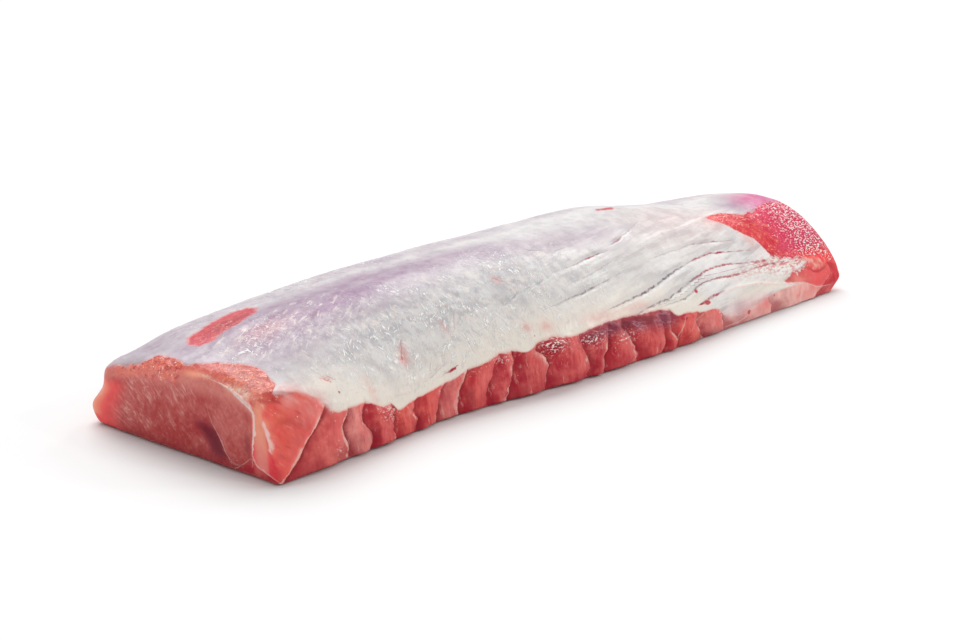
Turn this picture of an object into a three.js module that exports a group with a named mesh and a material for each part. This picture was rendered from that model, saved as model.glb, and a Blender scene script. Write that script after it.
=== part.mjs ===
// A boneless pork loin roast, raw and trimmed, lying with its membrane side up. It is one piece of meat.
// Millimetres. +X runs from the cut end to the tail end, +Y from the trimmed front wall to the back, +Z up.
// The origin is on the surface that the loin lies on, under the middle of its box.
import * as THREE from "three";
import { mergeVertices } from "three/addons/utils/BufferGeometryUtils.js";

const { clamp, lerp, smoothstep } = THREE.MathUtils;

// Driving sizes of the slab that the loin is shaped from
const LENGTH = 452;
const WIDTH = 125;
const WALL_HEIGHT = 45;
const RIM_RADIUS = 7;
const FOOT_RADIUS = 3;

// Facets of the surface along the length, across the width and up the walls
const FACETS_LONG = 90;
const FACETS_WIDE = 18;
const FACETS_HIGH = 9;
const EDGE_CROWDING = 0.4;

// Cross sections along the length: the front and back foot lines, the height of the front wall, the
// height of the crown, the crown's place across the width as a share of it, and the back shoulder's height
const SECTIONS = [
  { at: 0, front: -3, back: 127, wall: 36, crown: 43, ridge: 0.42, shoulder: 31 },
  { at: 40, front: -0.3, back: 127, wall: 31, crown: 55, ridge: 0.5, shoulder: 40 },
  { at: 90, front: 4, back: 126, wall: 24, crown: 61.5, ridge: 0.58, shoulder: 44 },
  { at: 122, front: 6.2, back: 125, wall: 26, crown: 63.5, ridge: 0.6, shoulder: 45 },
  { at: 165, front: 3, back: 124, wall: 27.5, crown: 64.6, ridge: 0.6, shoulder: 46 },
  { at: 220, front: -1.8, back: 123, wall: 28, crown: 64.8, ridge: 0.6, shoulder: 47 },
  { at: 290, front: -3.6, back: 121, wall: 23.5, crown: 63.3, ridge: 0.6, shoulder: 46 },
  { at: 350, front: -1.8, back: 118, wall: 20, crown: 58.2, ridge: 0.58, shoulder: 42 },
  { at: 400, front: -1, back: 114, wall: 17, crown: 55.2, ridge: 0.55, shoulder: 39 },
  { at: 432, front: -0.6, back: 110, wall: 14, crown: 53.2, ridge: 0.52, shoulder: 36 },
  { at: LENGTH, front: 0, back: 106, wall: 12, crown: 47.5, ridge: 0.5, shoulder: 31 },
];
const DOME_POWER = 2.2;

// The front wall leans in towards its top, the foot of the cut end leads, and the tail end overhangs its foot
const WALL_LEAN = 4;
const LEAN_REACH = 0.5;
const FOOT_LEAD = 5;
const FOOT_LEAD_REACH = 14;
const TAIL_OVERHANG = 13;
const TAIL_REACH = 52;

// A flap of meat stands out low along the back, most of all beside the cut end
const FLAP_OUT = 7;
const FLAP_OUT_AT_CUT = 12;
const FLAP_CUT_REACH = 120;
const FLAP_HEIGHT = 9;
const FLAP_SPREAD = 9.5;
const FLAP_FROM = 0.72;

// Seams between the muscle bundles of a wall: where each crosses the wall's mid height, how far it slants
// over the wall's height, and how far the bundles beside it stand out
const FRONT_SEAMS = [
  { at: 4, slant: 16, out: 0 },
  { at: 20, slant: 22, out: 2.2 },
  { at: 41, slant: -1, out: 2.4 },
  { at: 58, slant: -4, out: 2.6 },
  { at: 76, slant: 6, out: 2.4 },
  { at: 95, slant: 4, out: 2.2 },
  { at: 113, slant: 4, out: 1.8 },
  { at: 125, slant: 8, out: 2.6 },
  { at: 147, slant: 6, out: 2.4 },
  { at: 162, slant: 6, out: 2.8 },
  { at: 192, slant: 9, out: 2.8 },
  { at: 226, slant: -2, out: 3 },
  { at: 262, slant: 3, out: 2.6 },
  { at: 290, slant: 4, out: 2.4 },
  { at: 315, slant: 4, out: 2 },
  { at: 345, slant: 6, out: 1.4 },
  { at: 385, slant: 0, out: 1 },
  { at: 430, slant: -14, out: 0 },
];
const BACK_SEAMS = [
  { at: 10, slant: 8, out: 0 },
  { at: 52, slant: 10, out: 2.6 },
  { at: 84, slant: -4, out: 2.8 },
  { at: 130, slant: 8, out: 2.2 },
  { at: 158, slant: 6, out: 2.8 },
  { at: 205, slant: -6, out: 2.4 },
  { at: 238, slant: 4, out: 2.8 },
  { at: 290, slant: 8, out: 2.4 },
  { at: 326, slant: 2, out: 2 },
  { at: 372, slant: -6, out: 1.6 },
  { at: 425, slant: 6, out: 0 },
];
const BUNDLE_POWER = 2.4;
const BUNDLE_MIDDLE = 1.5;
const BUNDLE_FADE = 0.12;

// Lumps and hollows: lobes under the front rim, and the dished muscle and the fat ridge of the cut end.
// Each has a place along its face and up it, a reach in both ways, and how far it stands out
const FRONT_LOBES = [
  { at: 74, up: 0.62, reach: 7, reachUp: 0.24, out: 2.2 },
  { at: 193, up: 0.82, reach: 12, reachUp: 0.16, out: 2.4 },
  { at: 264, up: 0.82, reach: 24, reachUp: 0.14, out: -1.6 },
  { at: 322, up: 0.66, reach: 18, reachUp: 0.16, out: 1.4 },
];
const CUT_LOBES = [
  { at: 48, up: 0.26, reach: 9, reachUp: 0.2, out: -2.6 },
  { at: 33, up: 0.5, reach: 7, reachUp: 0.42, out: 1.4 },
  { at: 84, up: 0.45, reach: 26, reachUp: 0.3, out: 1.2 },
];

// The cut corner: a slanting facet through its foot and two points on the rim
const CORNER_FOOT = new THREE.Vector3(-6, -4, 0);
const CORNER_ON_CUT = new THREE.Vector3(-3.5, 15, 34);
const CORNER_ON_FRONT = new THREE.Vector3(29, 3, 33);

const LEAN_MEAT = new THREE.MeshStandardMaterial({ color: 0xd8a8a6, roughness: 0.38, metalness: 0 });

// Smooth curve through one size of the cross sections, each with the slope of its two neighbours.
function sectionSize(size, x) {
  const last = SECTIONS.length - 1;
  const slope = (k) => {
    const before = SECTIONS[Math.max(k - 1, 0)];
    const after = SECTIONS[Math.min(k + 1, last)];
    return (after[size] - before[size]) / (after.at - before.at);
  };
  const next = SECTIONS.findIndex((section) => section.at > x);
  const to = next === -1 ? last : Math.max(next, 1);
  const from = to - 1;
  const span = SECTIONS[to].at - SECTIONS[from].at;
  const t = clamp((x - SECTIONS[from].at) / span, 0, 1);
  const s = 1 - t;
  const held = (1 + 2 * t) * s * s * SECTIONS[from][size] + (1 + 2 * s) * t * t * SECTIONS[to][size];
  return held + t * s * span * (s * slope(from) - t * slope(to));
}

// Straight-line reading of one value of a list that is sorted by its places.
function between(list, value, at) {
  const next = list.findIndex((entry) => entry.at > at);
  if (next === 0) {
    return value(list[0], 0);
  }
  if (next === -1) {
    return value(list[list.length - 1], list.length - 1);
  }
  const t = (at - list[next - 1].at) / (list[next].at - list[next - 1].at);
  return lerp(value(list[next - 1], next - 1), value(list[next], next), t);
}

// How far a wall's muscle bundles stand out: a pillow between each two seams.
function bundleRelief(seams, x, up) {
  const slant = between(seams, (seam) => seam.slant, x);
  const place = between(seams, (seam, index) => index, x - slant * (up - 0.5));
  const out = between(seams, (seam) => seam.out, x);
  const across = place - Math.floor(place);
  return out * (1 - Math.abs(2 * across - 1) ** BUNDLE_POWER) - BUNDLE_MIDDLE * Math.min(out, 1);
}

// How far a face's lumps and hollows stand out: one round bump for each.
function lobeRelief(lobes, at, up) {
  return lobes.reduce((sum, lobe) => {
    const away = ((at - lobe.at) / lobe.reach) ** 2 + ((up - lobe.up) / lobe.reachUp) ** 2;
    return sum + lobe.out * Math.exp(-away);
  }, 0);
}

// Relief fades out towards a wall's foot and rim, so that both stay smooth lines.
function fadeUpWall(up) {
  return smoothstep(up, 0, BUNDLE_FADE) * smoothstep(1 - up, 0, BUNDLE_FADE);
}

// A point of the unit box carried to the slab with rounded edges, tighter at the foot than at the rim.
function roundedSlab(unit) {
  const slab = new THREE.Vector3(LENGTH, WIDTH, WALL_HEIGHT);
  const radius = lerp(FOOT_RADIUS, RIM_RADIUS, unit.z);
  const point = unit.clone().multiply(slab);
  const inner = point.clone().clamp(new THREE.Vector3().setScalar(radius), slab.clone().subScalar(radius));
  const facing = point.clone().sub(inner).normalize();
  const place = inner.addScaledVector(facing, radius).divide(slab);
  return { place, facing };
}

// The height of the dome over a place across the width, at one station along the length.
function domeHeight(x, across) {
  const ridge = sectionSize("ridge", x);
  const onFront = across < ridge;
  const rise = onFront ? across / ridge : (1 - across) / (1 - ridge);
  const edge = sectionSize(onFront ? "wall" : "shoulder", x);
  return lerp(edge, sectionSize("crown", x), 1 - (1 - clamp(rise, 0, 1)) ** DOME_POWER);
}

// The corner between the cut end and the front wall is sliced off by a plane.
function sliceCorner(point) {
  const plane = new THREE.Plane().setFromCoplanarPoints(CORNER_FOOT, CORNER_ON_FRONT, CORNER_ON_CUT);
  const proud = plane.distanceToPoint(point);
  return proud > 0 ? point.addScaledVector(plane.normal, -proud) : point;
}

// A point of the unit box carried to the surface of the loin.
function loinPoint(unit) {
  const { place, facing } = roundedSlab(unit);
  const along = place.x * LENGTH;
  const across = place.y;
  const up = place.z;
  const height = up * domeHeight(along, across);

  const lean = WALL_LEAN * up * (1 - smoothstep(across, 0, LEAN_REACH));
  const flapOut = lerp(FLAP_OUT_AT_CUT, FLAP_OUT, smoothstep(along, 0, FLAP_CUT_REACH));
  const flapLevel = Math.exp(-(((height - FLAP_HEIGHT) / FLAP_SPREAD) ** 2));
  const flap = flapOut * flapLevel * smoothstep(across, FLAP_FROM, 1);
  const front = sectionSize("front", along);
  const y = lerp(front, sectionSize("back", along), across) + lean + flap;

  const lead = FOOT_LEAD * (1 - smoothstep(along, 0, FOOT_LEAD_REACH)) * (1 - 0.5 * up);
  const overhang = TAIL_OVERHANG * smoothstep(up, 0, 0.6) * (1 - 0.85 * across);
  const x = along - lead + overhang * smoothstep(along, LENGTH - TAIL_REACH, LENGTH);

  const fade = fadeUpWall(up);
  const onFront = clamp(-facing.y, 0, 1) ** 2 * fade;
  const onBack = clamp(facing.y, 0, 1) ** 2 * fade;
  const onCut = clamp(-facing.x, 0, 1) ** 2 * fade;
  const frontRelief = bundleRelief(FRONT_SEAMS, along, up) + lobeRelief(FRONT_LOBES, along, up);
  const backRelief = bundleRelief(BACK_SEAMS, along, up);
  const cutRelief = lobeRelief(CUT_LOBES, across * WIDTH, up);
  const relieved = new THREE.Vector3(
    x - onCut * cutRelief,
    y - onFront * frontRelief + onBack * backRelief,
    height,
  );
  return sliceCorner(relieved);
}

// Crowds the facets towards both ends of a side, where the surface turns.
function crowdToEdges(t) {
  return lerp(t, 0.5 - 0.5 * Math.cos(Math.PI * t), EDGE_CROWDING);
}

function loinGeometry() {
  const box = new THREE.BoxGeometry(1, 1, 1, FACETS_LONG, FACETS_WIDE, FACETS_HIGH);
  box.deleteAttribute("normal");
  box.deleteAttribute("uv");
  const geometry = mergeVertices(box);
  const position = geometry.getAttribute("position");
  const unit = new THREE.Vector3();
  for (let i = 0; i < position.count; i += 1) {
    unit.fromBufferAttribute(position, i).addScalar(0.5);
    unit.set(unit.x, crowdToEdges(unit.y), crowdToEdges(unit.z));
    const { x, y, z } = loinPoint(unit);
    position.setXYZ(i, x, y, z);
  }
  geometry.computeBoundingBox();
  const middle = geometry.boundingBox.getCenter(new THREE.Vector3());
  geometry.translate(-middle.x, -middle.y, 0);
  geometry.computeVertexNormals();
  return geometry;
}

const loin = new THREE.Mesh(loinGeometry(), LEAN_MEAT);
loin.name = "pork_loin";

const roast = new THREE.Group();
roast.add(loin);

export default roast;
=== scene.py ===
"""A raw boneless pork loin roast, membrane side up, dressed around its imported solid.

The meat is one closed surface: a slab with rounded edges is bent to the loin's cross sections, given the
walls' muscle bundles and then a fine relief. Smooth fields on that surface tell the finish where membrane,
lean meat, fat seams and wet raw grain lie, and the finish adds what is finer than the mesh.
"""

import logging
import math
from dataclasses import dataclass
from enum import Enum
from functools import cached_property
from typing import Any, Union

import bpy
import numpy as np
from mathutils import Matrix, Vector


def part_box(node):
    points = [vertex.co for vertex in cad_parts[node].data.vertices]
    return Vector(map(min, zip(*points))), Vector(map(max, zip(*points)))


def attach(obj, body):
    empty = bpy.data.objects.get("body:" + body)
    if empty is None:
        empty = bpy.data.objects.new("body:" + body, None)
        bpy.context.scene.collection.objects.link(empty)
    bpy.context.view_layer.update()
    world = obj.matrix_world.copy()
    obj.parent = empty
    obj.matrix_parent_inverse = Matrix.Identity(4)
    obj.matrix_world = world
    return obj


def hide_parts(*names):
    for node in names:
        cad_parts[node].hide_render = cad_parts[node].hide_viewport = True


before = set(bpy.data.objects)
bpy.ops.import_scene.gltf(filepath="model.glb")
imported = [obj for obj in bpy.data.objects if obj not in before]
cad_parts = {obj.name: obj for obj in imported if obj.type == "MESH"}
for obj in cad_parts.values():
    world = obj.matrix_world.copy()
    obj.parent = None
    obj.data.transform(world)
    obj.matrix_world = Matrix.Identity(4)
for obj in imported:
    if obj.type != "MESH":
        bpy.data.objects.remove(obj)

Array = np.ndarray
Number = Union[int, float]
Place = tuple[float, float, float]
Outline = tuple[tuple[float, float], ...]
Line = tuple[Place, ...]
Lines = tuple[Line, ...]

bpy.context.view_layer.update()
MM = 0.001
log = logging.getLogger("pork_loin")


# Small shared shapes


def ease(t: Array) -> Array:
    """Smooth step: 0 below 0, 1 above 1, with level ends.

    Args:
        t: Values to ease.

    Returns:
        3 t squared minus 2 t cubed, of t held between 0 and 1.
    """
    held = np.clip(t, 0.0, 1.0)
    return held * held * (3.0 - 2.0 * held)


def hump(t: Array) -> Array:
    """Round bump: 1 at 0, falling as e to the minus t squared."""
    return np.exp(-t * t)


def rise(t: Array, start: float, reach: float) -> Array:
    """Eased step up that begins at start and takes reach."""
    return ease((t - start) / reach)


def fall(t: Array, start: float, reach: float) -> Array:
    """Eased step down that begins at start and takes reach."""
    return 1.0 - ease((t - start) / reach)


def columns(*parts: Array) -> Array:
    """One array with each part as a column."""
    return np.stack(parts, axis=1)


def plateau(t: Array, start: float, end: float, soft: float) -> Array:
    """Level stretch with eased ends.

    Args:
        t: Places along the stretch.
        start: Where it is half risen.
        end: Where it is half fallen.
        soft: How long each rise and fall is.

    Returns:
        1 between start and end, 0 well outside.
    """
    return ease((t - start) / soft + 0.5) * ease((end - t) / soft + 0.5)


def curve_through(at: Array, values: Array, x: Array) -> Array:
    """Cubic curve through stations, each with the slope of its two neighbours.

    Args:
        at: The stations, rising.
        values: The value at each station.
        x: Places to read, held between the first and last station.

    Returns:
        The curve's value at each place.
    """
    index = np.arange(len(at))
    before = np.maximum(index - 1, 0)
    after = np.minimum(index + 1, len(at) - 1)
    slope = (values[after] - values[before]) / (at[after] - at[before])
    k = np.clip(np.searchsorted(at, x, side="right") - 1, 0, len(at) - 2)
    gap = at[k + 1] - at[k]
    t = np.clip((x - at[k]) / gap, 0.0, 1.0)
    s = 1.0 - t
    held = (1.0 + 2.0 * t) * s * s * values[k] + (1.0 + 2.0 * s) * t * t * values[k + 1]
    return held + t * s * gap * (s * slope[k] - t * slope[k + 1])


def inside_distance(outline: Outline, u: Array, share: Array, width: float) -> Array:
    """Distance to a closed outline, positive inside it.

    Args:
        outline: Corners in order: first coordinate in millimetres, second as a share of the width.
        u: First coordinate of each place.
        share: Second coordinate of each place.
        width: Millimetres to a whole share.

    Returns:
        Nearest distance to a side, with the sign of an even-odd crossing count.
    """
    v = share * width
    nearest = np.full(u.shape, np.inf)
    inside = np.zeros(u.shape, bool)
    for (u0, s0), (u1, s1) in zip(outline, outline[1:] + outline[:1]):
        v0, v1 = s0 * width, s1 * width
        du, dv = u1 - u0, v1 - v0
        t = np.clip(((u - u0) * du + (v - v0) * dv) / (du * du + dv * dv), 0.0, 1.0)
        nearest = np.minimum(nearest, np.hypot(u - u0 - t * du, v - v0 - t * dv))
        crosses = (v0 > v) != (v1 > v)
        climb = np.where(crosses, v - v0, 0.0) / (dv if dv else 1.0)
        inside ^= crosses & (u < u0 + climb * du)
    return np.where(inside, nearest, -nearest)


def nearest_line(lines: Lines, u: Array, v: Array, scale: tuple[float, float]) -> Array:
    """Where each place lies beside the nearest of several broken lines.

    Args:
        lines: Points of each line: first coordinate, second coordinate and strength.
        u: First coordinate of each place, in millimetres.
        v: Second coordinate of each place, in millimetres.
        scale: Millimetres to one unit of the points' two coordinates.

    Returns:
        The distance with the sign of its side, the distance, and the strength between the stretch's ends.
    """
    nearest = np.full(u.shape, np.inf)
    side = np.zeros(u.shape)
    strength = np.zeros(u.shape)
    wide, tall = scale
    for line in lines:
        for (u0, v0, s0), (u1, v1, s1) in zip(line, line[1:]):
            du, dv = (u1 - u0) * wide, (v1 - v0) * tall
            right, ahead = u - u0 * wide, v - v0 * tall
            t = np.clip((right * du + ahead * dv) / (du * du + dv * dv), 0.0, 1.0)
            away = np.hypot(right - t * du, ahead - t * dv)
            closer = away < nearest
            nearest = np.where(closer, away, nearest)
            side = np.where(closer, np.sign(du * ahead - dv * right), side)
            strength = np.where(closer, s0 + t * (s1 - s0), strength)
    return columns(nearest * side, nearest, strength)


class Grain:
    """Seeded lattice noise in three dimensions, from 0 to 1."""

    SIDE = 32
    SHIFT = 7.3

    def __init__(self, seed: int) -> None:
        """Draw the lattice's values from one seed."""
        self.lattice = np.random.default_rng(seed).random((self.SIDE,) * 3)

    def at(self, points: Array) -> Array:
        """Read the noise.

        Args:
            points: Places in lattice steps, one row each.

        Returns:
            The lattice's values blended over each cell with eased weights.
        """
        cell = np.floor(points).astype(int)
        part = ease(points - cell)
        total = np.zeros(len(points))
        for corner in np.ndindex(2, 2, 2):
            weight = np.prod(np.where(corner, part, 1.0 - part), axis=1)
            total += weight * self.lattice[tuple(((cell + corner) % self.SIDE).T)]
        return total

    def layered(self, points: Array, octaves: int = 3) -> Array:
        """Sum of octaves, each of twice the pitch and half the strength.

        Args:
            points: Places in steps of the coarsest octave.
            octaves: How many are summed.

        Returns:
            The sum, scaled back to 0 to 1.
        """
        parts = [self.at(points * 2.0**k + self.SHIFT * k) * 0.5**k for k in range(octaves)]
        return sum(parts) / (2.0 - 0.5 ** (octaves - 1))

    def ridged(self, points: Array, octaves: int = 2) -> Array:
        """Sharp crests where the noise passes its middle: 1 on a crest, falling away on both sides."""
        return 1.0 - np.abs(2.0 * self.layered(points, octaves) - 1.0)


# The loin's form, in millimetres, as its solid has it


class Face(Enum):
    """The sides of the slab, with the axis and direction that each faces."""

    CUT = (0, -1.0)
    TAIL = (0, 1.0)
    FRONT = (1, -1.0)
    BACK = (1, 1.0)
    UNDER = (2, -1.0)
    TOP = (2, 1.0)

    def share(self, facing: Array) -> Array:
        """How far each place faces this way, 0 to 1: the square of the facing's part along the axis."""
        axis, sign = self.value
        return np.clip(facing[:, axis] * sign, 0.0, 1.0) ** 2


LEVELS = (0.0, 0.25, 0.5, 0.75, 1.0)


@dataclass(frozen=True)
class Seam:
    """A seam of a wall, and the bundle that follows it.

    Attributes:
        at: Places along the loin at five levels from foot to rim.
        shows: How clearly the seam's fat shows at those levels.
        out: How far the bundles stand out there, in millimetres.
        tones: The following bundle's shares of deep, orange and pale meat.
    """

    at: tuple[float, ...]
    shows: tuple[float, ...] = (0.0, 0.0, 0.0, 0.0, 0.0)
    out: float = 0.0
    tones: Place = (0.0, 0.0, 0.0)


def slanting(at: float, slant: float, out: float, shows: float, deep: float, orange: float) -> Seam:
    """A straight seam.

    Args:
        at: Place at half height.
        slant: How much further along it is at the rim than at the foot.
        out: How far the bundles stand out.
        shows: How clearly its fat shows.
        deep: The next bundle's share of deep meat.
        orange: The next bundle's share of orange meat.

    Returns:
        The seam, fading at the rim.
    """
    places = tuple(at + slant * (level - 0.5) for level in LEVELS)
    return Seam(places, (0.6 * shows, shows, shows, 0.8 * shows, 0.2 * shows), out, (deep, orange, 0.0))


@dataclass(frozen=True)
class Seams:
    """The seams of one wall, in order along the loin."""

    rows: tuple[Seam, ...]
    power: float = 2.4
    middle: float = 1.5
    shingle: float = 0.8
    edge_reach: float = 1.6
    first_spacing: float = 20.0
    slow_sway: float = 5.5
    slow_pitch: float = 14.0
    slow_rows: float = 4.0
    quick_sway: float = 2.2
    quick_pitch: float = 6.0
    quick_rows: float = 11.0
    quick_level: float = 9.0
    still_until: float = 34.0
    sway_reach: float = 14.0
    seed: int = 5

    def sway(self, along: Array, up: Array) -> Array:
        """How far the seams wander: slow and quick noise, none beside the sliced corner.

        Args:
            along: Places along the loin.
            up: Share of the wall's height.

        Returns:
            Millimetres along the loin.
        """
        grain = Grain(self.seed)
        level = 0.0 * up
        slow = grain.at(columns(along / self.slow_pitch, up * self.slow_rows, level)) - 0.5
        level = level + self.quick_level
        quick = grain.at(columns(along / self.quick_pitch, up * self.quick_rows, level)) - 0.5
        sway = self.slow_sway * slow + self.quick_sway * quick
        return sway * rise(along, self.still_until, self.sway_reach)

    def read(self, along: Array, up: Array) -> tuple[Array, Array]:
        """Where each place lies among the seams.

        Args:
            along: Places along the loin.
            up: Share of the wall's height.

        Returns:
            A number that is whole on every seam and rises evenly between two, and the two's distance.
        """
        levels = np.array(LEVELS)
        lines = [curve_through(levels, np.array(seam.at, float), up) for seam in self.rows]
        along = along + self.sway(along, up)
        phase = np.zeros(len(along))
        spacing = np.full(len(along), self.first_spacing)
        for k, (low, high) in enumerate(zip(lines, lines[1:])):
            behind = along >= low
            phase = np.where(behind, k + (along - low) / (high - low), phase)
            spacing = np.where(behind, high - low, spacing)
        return np.minimum(phase, len(lines) - 1.0), spacing

    def shows(self, phase: Array, up: Array) -> Array:
        """How clearly the nearest seam's fat shows.

        Args:
            phase: Places among the seams.
            up: Share of the wall's height.

        Returns:
            Shares from 0 to 1.
        """
        nearest = np.rint(phase).astype(int)
        return np.select(
            [nearest == k for k in range(len(self.rows))],
            [np.interp(up, LEVELS, seam.shows) for seam in self.rows],
        )

    def tones(self, phase: Array) -> Array:
        """The shares of deep, orange and pale meat of each place's bundle."""
        return np.array([seam.tones for seam in self.rows])[np.floor(phase).astype(int)]

    def relief(self, along: Array, up: Array) -> Array:
        """How far the bundles stand out: a pillow between each two seams, its far edge proud.

        Args:
            along: Places along the loin.
            up: Share of the wall's height.

        Returns:
            Millimetres out of the wall.
        """
        phase, spacing = self.read(along, up)
        depth = np.interp(phase, np.arange(len(self.rows)), [seam.out for seam in self.rows])
        across = phase - np.floor(phase)
        pillow = 1.0 - np.abs(2.0 * across - 1.0) ** self.power
        proud = ease(across) * ease((1.0 - across) * spacing / self.edge_reach)
        flat = np.minimum(depth, 1.0)
        return depth * pillow + flat * (self.shingle * proud - self.middle)


@dataclass(frozen=True)
class Lobes:
    """Lumps and hollows of one face: rows of place along, share up, reach along, reach up and height."""

    rows: tuple[tuple[float, ...], ...]

    def relief(self, at: Array, up: Array) -> Array:
        """Sum of one round bump for each row, in millimetres."""
        return sum(h * hump(np.hypot((at - a) / r, (up - u) / s)) for a, u, r, s, h in self.rows)


@dataclass
class Skin:
    """Places on the loin's surface: points, slab coordinates, facing and depth under the sliced corner."""

    points: Array
    along: Array
    across: Array
    up: Array
    facing: Array
    sliced: Array


@dataclass(frozen=True)
class LoinForm:
    """The loin's carrier shape: a rounded slab bent to cross sections."""

    length: float = 452.0
    width: float = 125.0
    wall_height: float = 45.0
    rim_radius: float = 7.0
    foot_radius: float = 3.0
    dome_power: float = 2.2
    wall_lean: float = 4.0
    lean_reach: float = 0.5
    foot_lead: float = 5.0
    foot_lead_reach: float = 14.0
    foot_lead_drop: float = 0.5
    tail_overhang: float = 13.0
    tail_reach: float = 52.0
    tail_climb: float = 0.6
    tail_drop: float = 0.85
    flap_out: float = 7.0
    flap_out_at_cut: float = 12.0
    flap_cut_reach: float = 120.0
    flap_height: float = 9.0
    flap_spread: float = 9.5
    flap_from: float = 0.72
    relief_fade: float = 0.12
    foot_fade: float = 0.07
    corner_foot: Place = (-6.0, -4.0, 0.0)
    corner_on_cut: Place = (-3.5, 15.0, 34.0)
    corner_on_front: Place = (29.0, 3.0, 33.0)
    # Place along, front foot, back foot, front wall height, crown height, crown's share of width, shoulder
    sections: tuple[tuple[float, ...], ...] = (
        (0, -3, 127, 36, 43, 0.42, 31), (40, -0.3, 127, 31, 55, 0.5, 40), (90, 4, 126, 24, 61.5, 0.58, 44),
        (122, 6.2, 125, 26, 63.5, 0.6, 45), (165, 3, 124, 27.5, 64.6, 0.6, 46),
        (220, -1.8, 123, 28, 64.8, 0.6, 47), (290, -3.6, 121, 23.5, 63.3, 0.6, 46),
        (350, -1.8, 118, 20, 58.2, 0.58, 42), (400, -1, 114, 17, 55.2, 0.55, 39),
        (432, -0.6, 110, 14, 53.2, 0.52, 36), (452, 0, 106, 12, 47.5, 0.5, 31),
    )
    front_seams: Seams = Seams((
        Seam((-20, -20, -20, -20, -20), tones=(0, 1, 0)),
        Seam((2, 10.5, 17, 27, 33), (1, 1, 1, 0.9, 0.5), 2.2, (0, 0.5, 0.1)),
        Seam((45, 44, 43, 45, 46), (0.5, 0.8, 1, 0.8, 0.3), 2.4, (0, 0.4, 0.4)),
        Seam((58, 60, 56, 57, 60), (0.3, 0.6, 0.5, 0.2, 0), 2.6, (0.1, 0.15, 0)),
        Seam((77, 77, 80, 77, 74), (0.1, 0.2, 0.2, 0.1, 0), 2.4, (0, 0.7, 0)),
        Seam((93, 94, 95, 96, 97), (0.2, 0.6, 0.5, 0.2, 0), 2.2, (0, 0.55, 0)),
        Seam((110, 112, 115, 117, 119), (0.1, 0.2, 0.2, 0.2, 0), 1.8, (0, 0.3, 0.22)),
        Seam((125, 127, 130, 134, 137), (0.7, 1, 1, 0.9, 0.4), 2.6, (0.1, 0.25, 0)),
        Seam((146, 148, 151, 154, 157), (0.1, 0.2, 0.2, 0.1, 0), 2.4, (0.15, 0, 0)),
        Seam((160, 162, 164, 166, 167), (0.7, 1, 0.9, 0.8, 0.6), 2.8, (0.25, 0.05, 0)),
        Seam((187, 190, 193, 186, 181), (0.2, 0.7, 0.9, 0.5, 0.1), 2.8, (0.15, 0.05, 0)),
        Seam((219, 221, 219, 216, 214), (0, 0.3, 0.5, 0.1, 0), 3.0, (0.2, 0, 0)),
        Seam((230, 231, 235, 238, 240), (0.5, 0.9, 0.9, 0.3, 0), 3.0, (0.1, 0.15, 0)),
        Seam((258, 262, 257, 252, 249), (0.3, 0.8, 0.6, 0.2, 0), 2.6, (0.1, 0.2, 0)),
        Seam((281, 284, 286, 283, 282), (0.2, 0.5, 0.4, 0.1, 0), 2.4, (0.05, 0.35, 0)),
        Seam((295, 294, 291, 292, 293), (0.3, 0.6, 0.5, 0.2, 0), 2.4, (0, 0.7, 0)),
        Seam((318, 317, 315, 316, 317), (0.4, 0.4, 0.2, 0, 0), 2.0, (0, 0.25, 0.3)),
        Seam((338, 339, 339, 336, 334), (0.4, 0.3, 0.3, 0.5, 0.6), 1.4, (0, 0, 0.9)),
        Seam((386, 386, 386, 388, 390), (0.1, 0.1, 0.2, 0.2, 0.1), 0.8, (0, 0.1, 1.0)),
        Seam((430, 433, 436, 440, 444), tones=(0, 0.3, 0.3)),
        Seam((480, 480, 480, 480, 480)),
    ))
    back_seams: Seams = Seams((
        Seam((-30, -30, -30, -30, -30), tones=(0, 0.6, 0)),
        slanting(10, 14, 0.8, 0.2, 0.1, 0.4),
        slanting(39, 24, 1.8, 0.5, 0.2, 0.1),
        slanting(58, 12, 1.2, 0.1, 0.1, 0.3),
        slanting(86, 26, 2.0, 0.3, 0.15, 0.1),
        slanting(121, 8, 1.0, 0.0, 0.1, 0.25),
        slanting(138, 20, 2.2, 0.6, 0.25, 0.0),
        slanting(170, 28, 1.6, 0.1, 0.1, 0.15),
        slanting(206, 10, 1.2, 0.2, 0.15, 0.2),
        slanting(222, 18, 2.2, 0.5, 0.2, 0.1),
        slanting(258, 24, 1.4, 0.0, 0.1, 0.3),
        slanting(289, 14, 2.0, 0.55, 0.15, 0.2),
        slanting(306, 20, 1.0, 0.1, 0.1, 0.35),
        slanting(346, 26, 1.6, 0.3, 0.15, 0.2),
        slanting(378, 12, 0.9, 0.1, 0.1, 0.4),
        slanting(425, 10, 0.6, 0.1, 0.1, 0.5),
        Seam((480, 480, 480, 480, 480)),
    ), slow_sway=9.0, quick_sway=3.0, seed=6)
    front_lobes: Lobes = Lobes((
        (74, 0.62, 7, 0.24, 2.2),
        (193, 0.82, 12, 0.16, 2.4),
        (264, 0.82, 24, 0.14, -1.6),
        (322, 0.66, 18, 0.16, 1.4),
    ))
    cut_lobes: Lobes = Lobes((
        (48, 0.26, 9, 0.2, -2.6),
        (33, 0.5, 7, 0.42, 1.4),
        (84, 0.45, 26, 0.3, 1.2),
    ))

    def slab(self, unit: Array) -> tuple[Array, Array]:
        """Round the unit box's edges, tighter at the foot than at the rim.

        Args:
            unit: Places on the unit box.

        Returns:
            The rounded places, still as shares of the slab, and the way each faces.
        """
        size = np.array([self.length, self.width, self.wall_height])
        radius = (self.foot_radius + (self.rim_radius - self.foot_radius) * unit[:, 2])[:, None]
        point = unit * size
        inner = np.minimum(np.maximum(point, radius), size - radius)
        away = point - inner
        facing = away / np.linalg.norm(away, axis=1, keepdims=True)
        return (inner + facing * radius) / size, facing

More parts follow.
